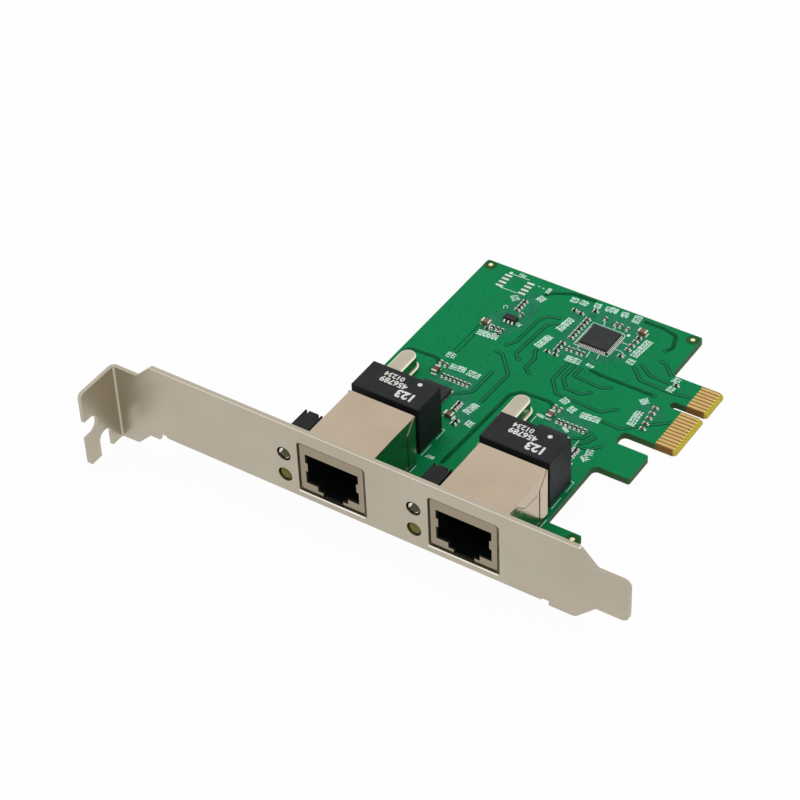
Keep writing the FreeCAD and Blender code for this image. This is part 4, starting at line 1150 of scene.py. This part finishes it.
# Beside port 1, and again beside port 2
PORT_LINES = [
    [(61.15, 20.6), (61.15, 24.3)],
    [(61.15, 26.2), (61.15, 29.4), (60.4, 29.4)],
    [(61.9, 15.2), (61.9, 17.6)],
    [(44.65, 40.4), (44.65, 43.5)],
    [(55.8, 37.1), (55.8, 40.5)],
]
PIN_DOTS = [(78.3, 74.3), (46.2, 79.8), (82.0, 29.6), (51.9, 29.6)]
for route in PORT_LINES:
    INK_LINES += [route, [(along + PORT_STEP, inward) for along, inward in route]]
ribbons("ink_lines", INK_LINES, INK_LINE, INK_UP, 0.0, "white_ink")
dots("ink_dots", PIN_DOTS, INK_DOT, INK_UP, INK_DOT_SIDES, "white_ink")
print("ink lines", len(INK_LINES))

# %% [markdown]
# ## Printed numbers
#
# Each small part has a number beside it. They stand in stacks next to the rows of parts, one short number
# for each part, read at right angles to the row. Plain counting numbers take the place of part names. A
# text object gives the shape of the digits, is turned into a mesh and only then moved to its place.

# %% Number helpers
# First and last end of a stack, and how many numbers it holds
NUMBER_STACKS = [
    ((48.7, 49.7), (50.9, 49.9), 2),
    ((51.4, 46.8), (55.0, 47.2), 4),
    ((55.6, 47.0), (58.6, 46.9), 3),
    ((50.4, 59.3), (55.2, 59.6), 5),
    ((61.9, 36.0), (62.6, 39.4), 4),
    ((64.3, 32.8), (64.5, 34.4), 2),
    ((50.9, 72.3), (51.9, 73.5), 2),
    ((56.3, 65.2), (56.5, 66.1), 1),
    ((48.7, 79.9), (48.9, 80.8), 1),
    ((55.9, 78.6), (56.9, 78.6), 1),
    ((56.1, 74.6), (56.7, 76.3), 2),
    ((63.6, 61.4), (64.4, 65.8), 5),
    ((64.8, 68.4), (65.4, 73.0), 5),
    ((62.8, 78.0), (62.7, 79.5), 2),
    ((64.9, 78.2), (65.1, 79.6), 2),
    ((67.3, 79.4), (68.7, 79.5), 2),
    ((69.8, 79.7), (72.6, 80.0), 3),
    ((73.6, 79.7), (75.2, 80.0), 2),
    ((77.4, 78.6), (77.2, 81.0), 3),
    ((82.5, 68.9), (83.1, 75.0), 7),
    ((82.8, 66.5), (82.9, 67.8), 2),
    ((70.7, 61.4), (74.1, 61.6), 4),
    ((76.2, 61.1), (76.4, 62.3), 1),
    ((77.1, 48.8), (77.7, 50.3), 2),
    ((79.2, 48.1), (80.8, 47.7), 2),
    ((82.3, 47.5), (86.6, 47.8), 5),
    ((81.7, 41.7), (82.2, 42.4), 1),
    ((90.8, 57.0), (92.0, 58.3), 2),
    ((92.4, 49.8), (92.1, 54.6), 5),
    ((93.2, 66.7), (94.6, 66.5), 2),
    ((93.6, 63.7), (94.8, 63.6), 2),
    ((89.0, 38.4), (90.2, 38.7), 2),
    ((89.2, 36.1), (89.9, 37.2), 2),
    ((75.4, 42.6), (75.5, 43.6), 1),
    ((62.9, 20.6), (62.9, 21.8), 1),
]
NUMBER_SIZE = 1.24
NUMBER_WEIGHT = 9.0
INK_THICK = 0.006
CURVE_STEPS = 2


def number_mesh(text, size, weight):
    """Flat mesh of a number, centred, with a little thickness; weight makes its strokes bolder."""
    curve = bpy.data.curves.new("number", "FONT")
    curve.body = text
    curve.size = size * MM
    curve.align_x = "CENTER"
    curve.align_y = "CENTER"
    curve.resolution_u = CURVE_STEPS
    curve.extrude = INK_THICK * MM
    curve.offset = INK_THICK * MM * weight
    holder = bpy.data.objects.new("number", curve)
    mesh = bpy.data.meshes.new_from_object(holder)
    bpy.data.objects.remove(holder)
    bpy.data.curves.remove(curve)
    return mesh


def add_print(name, numbers, finish):
    """Numbers as one piece, each given by its text, place, turn, size and weight."""
    work = bmesh.new()
    for text, place, turn, size, weight in numbers:
        mesh = number_mesh(text, size, weight)
        mesh.transform(Matrix.Translation(place) @ Matrix.Rotation(turn, 4, "Z"))
        work.from_mesh(mesh)
        bpy.data.meshes.remove(mesh)
    bmesh.ops.recalc_face_normals(work, faces=work.faces)
    piece = add_piece(name, to_mesh(work, name), finish)
    print(name, "has", len(numbers), "numbers and", len(piece.data.polygons), "faces")


# %% Lay the numbers
FIRST_COUNT = 10
COUNT_STEP = 7
LOWEST_NUMBER = 100
NUMBERS = 900
spots = []
for first, last, count in NUMBER_STACKS:
    start, end = Vector(first), Vector(last)
    turn = math.atan2(end.y - start.y, end.x - start.x) + math.pi / 2
    spots += [(start.lerp(end, (index + 0.5) / count), turn) for index in range(count)]
numbers = []
for count, (spot, turn) in enumerate(spots, FIRST_COUNT):
    text = str(count * COUNT_STEP % NUMBERS + LOWEST_NUMBER)
    numbers.append((text, at(*spot, INK_UP), turn, NUMBER_SIZE, NUMBER_WEIGHT))
add_print("printed_numbers", numbers, "white_ink")

# %% [markdown]
# ## Print on the transformers
#
# Each transformer carries three rows of print and a dot that marks its first pin. Plain digits stand in for
# the print. The rows face away from the bracket's tongue, so they are turned by half a turn.

# %% Transformer print
PRINT_LIFT = 0.012
# Text, place of its middle, size and weight
CASE_ROWS = [
    ("123", (86.15, 23.3), 3.0, 20.0),
    ("456789", (82.0, 25.45), 2.1, 10.0),
    ("01234", (81.15, 27.15), 1.85, 8.0),
]
CASE_DOT = (86.9, 27.5)
CASE_DOT_ROUND = 0.5
CASE_DOT_SIDES = 20
CASE_STEPS = (0.0, -30.05)
print_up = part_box("transformer_2_case")[1].z / MM - BOARD_TOP + PRINT_LIFT

case_numbers = []
for step in CASE_STEPS:
    for text, (along, inward), tall, weight in CASE_ROWS:
        case_numbers.append((text, at(along + step, inward, print_up), math.pi, tall, weight))
add_print("case_print", case_numbers, "case_print")
case_dots = [(CASE_DOT[0] + step, CASE_DOT[1]) for step in CASE_STEPS]
dots("case_dots", case_dots, CASE_DOT_ROUND, print_up, CASE_DOT_SIDES, "case_print")

# %% [markdown]
# ## Crystal cans
#
# A crystal can is drawn from thin sheet and welded to a brim. Its top edge is well rounded and mirrors its
# surroundings in thin bright and dark lines. The solid has the plain steps, so a finer mesh replaces it: one
# round-ended outline, drawn in and lifted ring by ring. A profile of rings is the simplest way to round it.

# %% Finer crystal cans
END_STEPS = 14
FLAT_TOP = 0.999
# Inset from the brim and height of each ring
CAN_RINGS = [
    (0.16, 0.0), (0.03, 0.05), (0.0, 0.15), (0.0, 0.32), (0.04, 0.41), (0.14, 0.45), (0.34, 0.46),
    (0.42, 0.52), (0.44, 0.64), (0.44, 2.85), (0.47, 3.04), (0.56, 3.2), (0.7, 3.32), (0.88, 3.39),
    (1.1, 3.4),
]


def can_rings(node):
    """Round-ended rings inside the box of a can, each drawn in by its inset and lifted."""
    low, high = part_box(node)
    middle = (low + high) / 2
    straight = (high.y - low.y - high.x + low.x) / 2
    rings = []
    for inset, up in CAN_RINGS:
        radius = (high.x - low.x) / 2 - inset * MM
        ring = []
        for end in (1, -1):
            for step in range(END_STEPS + 1):
                angle = math.pi * step / END_STEPS
                ring.append((middle.x + end * radius * math.cos(angle),
                             middle.y + end * (straight + radius * math.sin(angle)), low.z + up * MM))
        rings.append(ring)
    return rings


for node in ("crystal_1_can", "crystal_2_can"):
    can = add_piece(node + "_drawn", ringed_mesh(node + "_drawn", [can_rings(node)]), "polished_can", node)
    for face in can.data.polygons:
        face.use_smooth = face.normal.z < FLAT_TOP
    print(can.name, len(can.data.polygons), "faces")

# %% [markdown]
# ## Indicator lights
#
# Each light is a lens of clear resin that ends in a low dome behind its hole in the bracket. The upper lens
# of a pair is dark, and two painted highlights sit at its rim as thin white leaves: a broad crescent on one
# side and a fine one low on the other. A lens is a turned shape, so its profile is spun round the light's
# axis and closed at its poles. A leaf is a thin plate between two arcs.

# %% Lenses and painted highlight leaves
SPIN_STEPS = 28
LENS_DOME = 0.4
DOME_STEPS = 6
LEAF_ROUND = 1.2
LEAF_DEPTH = 0.03
LEAF_THICK = 0.25
LEAF_STEPS = 14
# Where a leaf starts and ends, in half turns, and how thick its middle is
HIGHLIGHT_LEAVES = {"broad": (0.55, 1.12, 0.55), "fine": (-0.45, -0.1, 0.14)}


def facing(middle, front, points):
    """Points given across and up from the middle of a light, in millimetres, in a plane that faces out."""
    return [(middle.x + across * MM, front, middle.z + up * MM) for across, up in points]


def lens_rings(low, high):
    """Rings of a domed lens between the corners of its box, from pole to pole."""
    radius, long = (high.x - low.x) / 2 / MM, (high.y - low.y) / MM
    profile = []
    for step in range(DOME_STEPS + 1):
        angle = math.pi / 2 * step / DOME_STEPS
        profile.append((radius * math.sin(angle), LENS_DOME * (1 - math.cos(angle))))
    rings = []
    for reach, depth in [*profile, (radius, long), (0.0, long)]:
        angles = [2 * math.pi * step / SPIN_STEPS for step in range(SPIN_STEPS if reach else 1)]
        circle = [(reach * math.cos(angle), reach * math.sin(angle)) for angle in angles]
        rings.append(facing((low + high) / 2, low.y + depth * MM, circle))
    return rings


def leaf_rings(low, high, start, end, swell):
    """Front and back of a thin crescent between two arcs, from one half turn to another."""
    outer, inner = [], []
    aside = math.pi * (start + end) / 2
    for step in range(LEAF_STEPS + 1):
        share = step / LEAF_STEPS
        angle = math.pi * (start + (end - start) * share)
        across, up = LEAF_ROUND * math.cos(angle), LEAF_ROUND * math.sin(angle)
        drawn_in = swell * math.sin(math.pi * share)
        outer.append((across, up))
        inner.append((across - drawn_in * math.cos(aside), up - drawn_in * math.sin(aside)))
    outline = outer + inner[-2:0:-1]
    depths = (LEAF_DEPTH, LEAF_DEPTH + LEAF_THICK)
    return [facing((low + high) / 2, low.y + depth * MM, outline) for depth in depths]


for number in (1, 2):
    for level, finish in (("upper", "clear_resin"), ("lower", "olive_resin")):
        node = "light_%d_%s_lens" % (number, level)
        low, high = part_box(node)
        lens = ringed_mesh(node + "_domed", [lens_rings(low, high)], smooth=True)
        add_piece(node + "_domed", lens, finish, node)
        print(node, "is", round((high.x - low.x) / MM, 2), "mm wide")
    node = "light_%d_upper_lens" % number
    low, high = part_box(node)
    for kind, shape in HIGHLIGHT_LEAVES.items():
        name = "%s_%s_leaf" % (node, kind)
        add_piece(name, ringed_mesh(name, [leaf_rings(low, high, *shape)]), "painted_highlight_leaf")

# %% [markdown]
# ## Shadow line round each port
#
# The front plate of a port stands in its window with a narrow gap, and its own edge is folded back, so a
# dark line runs all round the plate. The line is a thin frame on the plate's face: an outline with rounded
# corners, once at full size and once drawn in, with the strip between them filled.

# %% Port frames
FRAME_IN = 0.06
FRAME_WIDE = 0.2
FRAME_PROUD = 0.01
FRAME_ROUND = 0.9
FACE_DEPTH = 0.02


def face_box(number):
    """Lowest and highest corner of the front plate, from the points nearest the bracket's face."""
    node = "port_%d_shield" % number
    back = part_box(node)[0].y + FACE_DEPTH * MM
    return corners_of(vertex.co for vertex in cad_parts[node].data.vertices if vertex.co.y < back)


def frame_ring(low, high, inset, proud):
    """Rounded rectangle in front of a port's face."""
    left, right = low.x / MM + inset, high.x / MM - inset
    foot, top = low.z / MM + inset, high.z / MM - inset
    outline = rounded_outline([(left, foot), (right, foot), (right, top), (left, top)], FRAME_ROUND - inset)
    return [(point.x * MM, low.y - proud * MM, point.y * MM) for point in outline]


for number in (1, 2):
    low, high = face_box(number)
    name = "port_%d_frame" % number
    inner = FRAME_IN + FRAME_WIDE
    steps = ((FRAME_IN, 0.0), (FRAME_IN, FRAME_PROUD), (inner, FRAME_PROUD), (inner, 0.0))
    rings = [frame_ring(low, high, inset, proud) for inset, proud in steps]
    add_piece(name, ringed_mesh(name, [rings], looped=True), "fold_shadow")
    print(name, "is", round((high.x - low.x) / MM, 2), "by", round((high.z - low.z) / MM, 2), "mm")

# %% [markdown]
# ## Painted highlight under each port
#
# The lower cut edge of each window catches the light, and it is the brightest line on the bracket. A bright
# half-round bead along the edge paints that highlight, swept from one corner of the window to the other.

# %% Painted highlight beads
LIP_ROUND = 0.2
LIP_PROUD = 0.1
LIP_STEPS = 8
WINDOW_GAP = 0.15

for number in (1, 2):
    low, high = face_box(number)
    name = "port_%d_lip" % number
    height = low.z - (WINDOW_GAP + LIP_ROUND) * MM
    angles = [math.pi * step / LIP_STEPS for step in range(LIP_STEPS + 1)]
    bead = [(at(0, -LIP_PROUD * math.sin(angle)).y, height + LIP_ROUND * math.cos(angle) * MM)
            for angle in angles]
    rings = [[(x, *point) for point in bead] for x in (low.x - WINDOW_GAP * MM, high.x + WINDOW_GAP * MM)]
    add_piece(name, ringed_mesh(name, [rings]), "painted_highlight_lip")
    print(name, "at", round(height / MM, 2), "mm")

# %% [markdown]
# ## Seams of the port shells
#
# A port shell is one sheet folded into a box, and the flap that closes its side is locked under the next
# wall. The edge of the flap shows as a fine dark line that steps across the wall. A strip of small blocks
# along the line, barely proud of the wall, gives it.

# %% Folded seams
SEAM_WIDE = 0.13
SEAM_PROUD = 0.012
SHELL_WALL = 0.25
SEAM_ROUTES = [
    [(5.0, 12.0), (7.5, 11.3), (10.1, 8.9), (14.9, 8.4)],
    [(17.35, 1.4), (17.35, 3.5)],
]


def seam_body(wall, start, end):
    """A strip between two places of inward and up, standing on a wall that faces along the card."""
    start, end = at(0, *start), at(0, *end)
    run = end - start
    side = Vector((0.0, -run.z, run.y)).normalized() * SEAM_WIDE / 2 * MM
    corners = [start - side, start + side, end + side, end - side]
    depths = (SEAM_PROUD, -SEAM_PROUD)
    return [[(wall + depth * MM, corner.y, corner.z) for corner in corners] for depth in depths]


for number in (1, 2):
    name = "port_%d_seams" % number
    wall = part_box("port_%d_housing" % number)[1].x + SHELL_WALL * MM
    bodies = [seam_body(wall, *ends) for route in SEAM_ROUTES for ends in zip(route, route[1:])]
    add_piece(name, ringed_mesh(name, bodies), "seam_shadow")
    print(name, "at", round(wall / MM, 3), "mm")
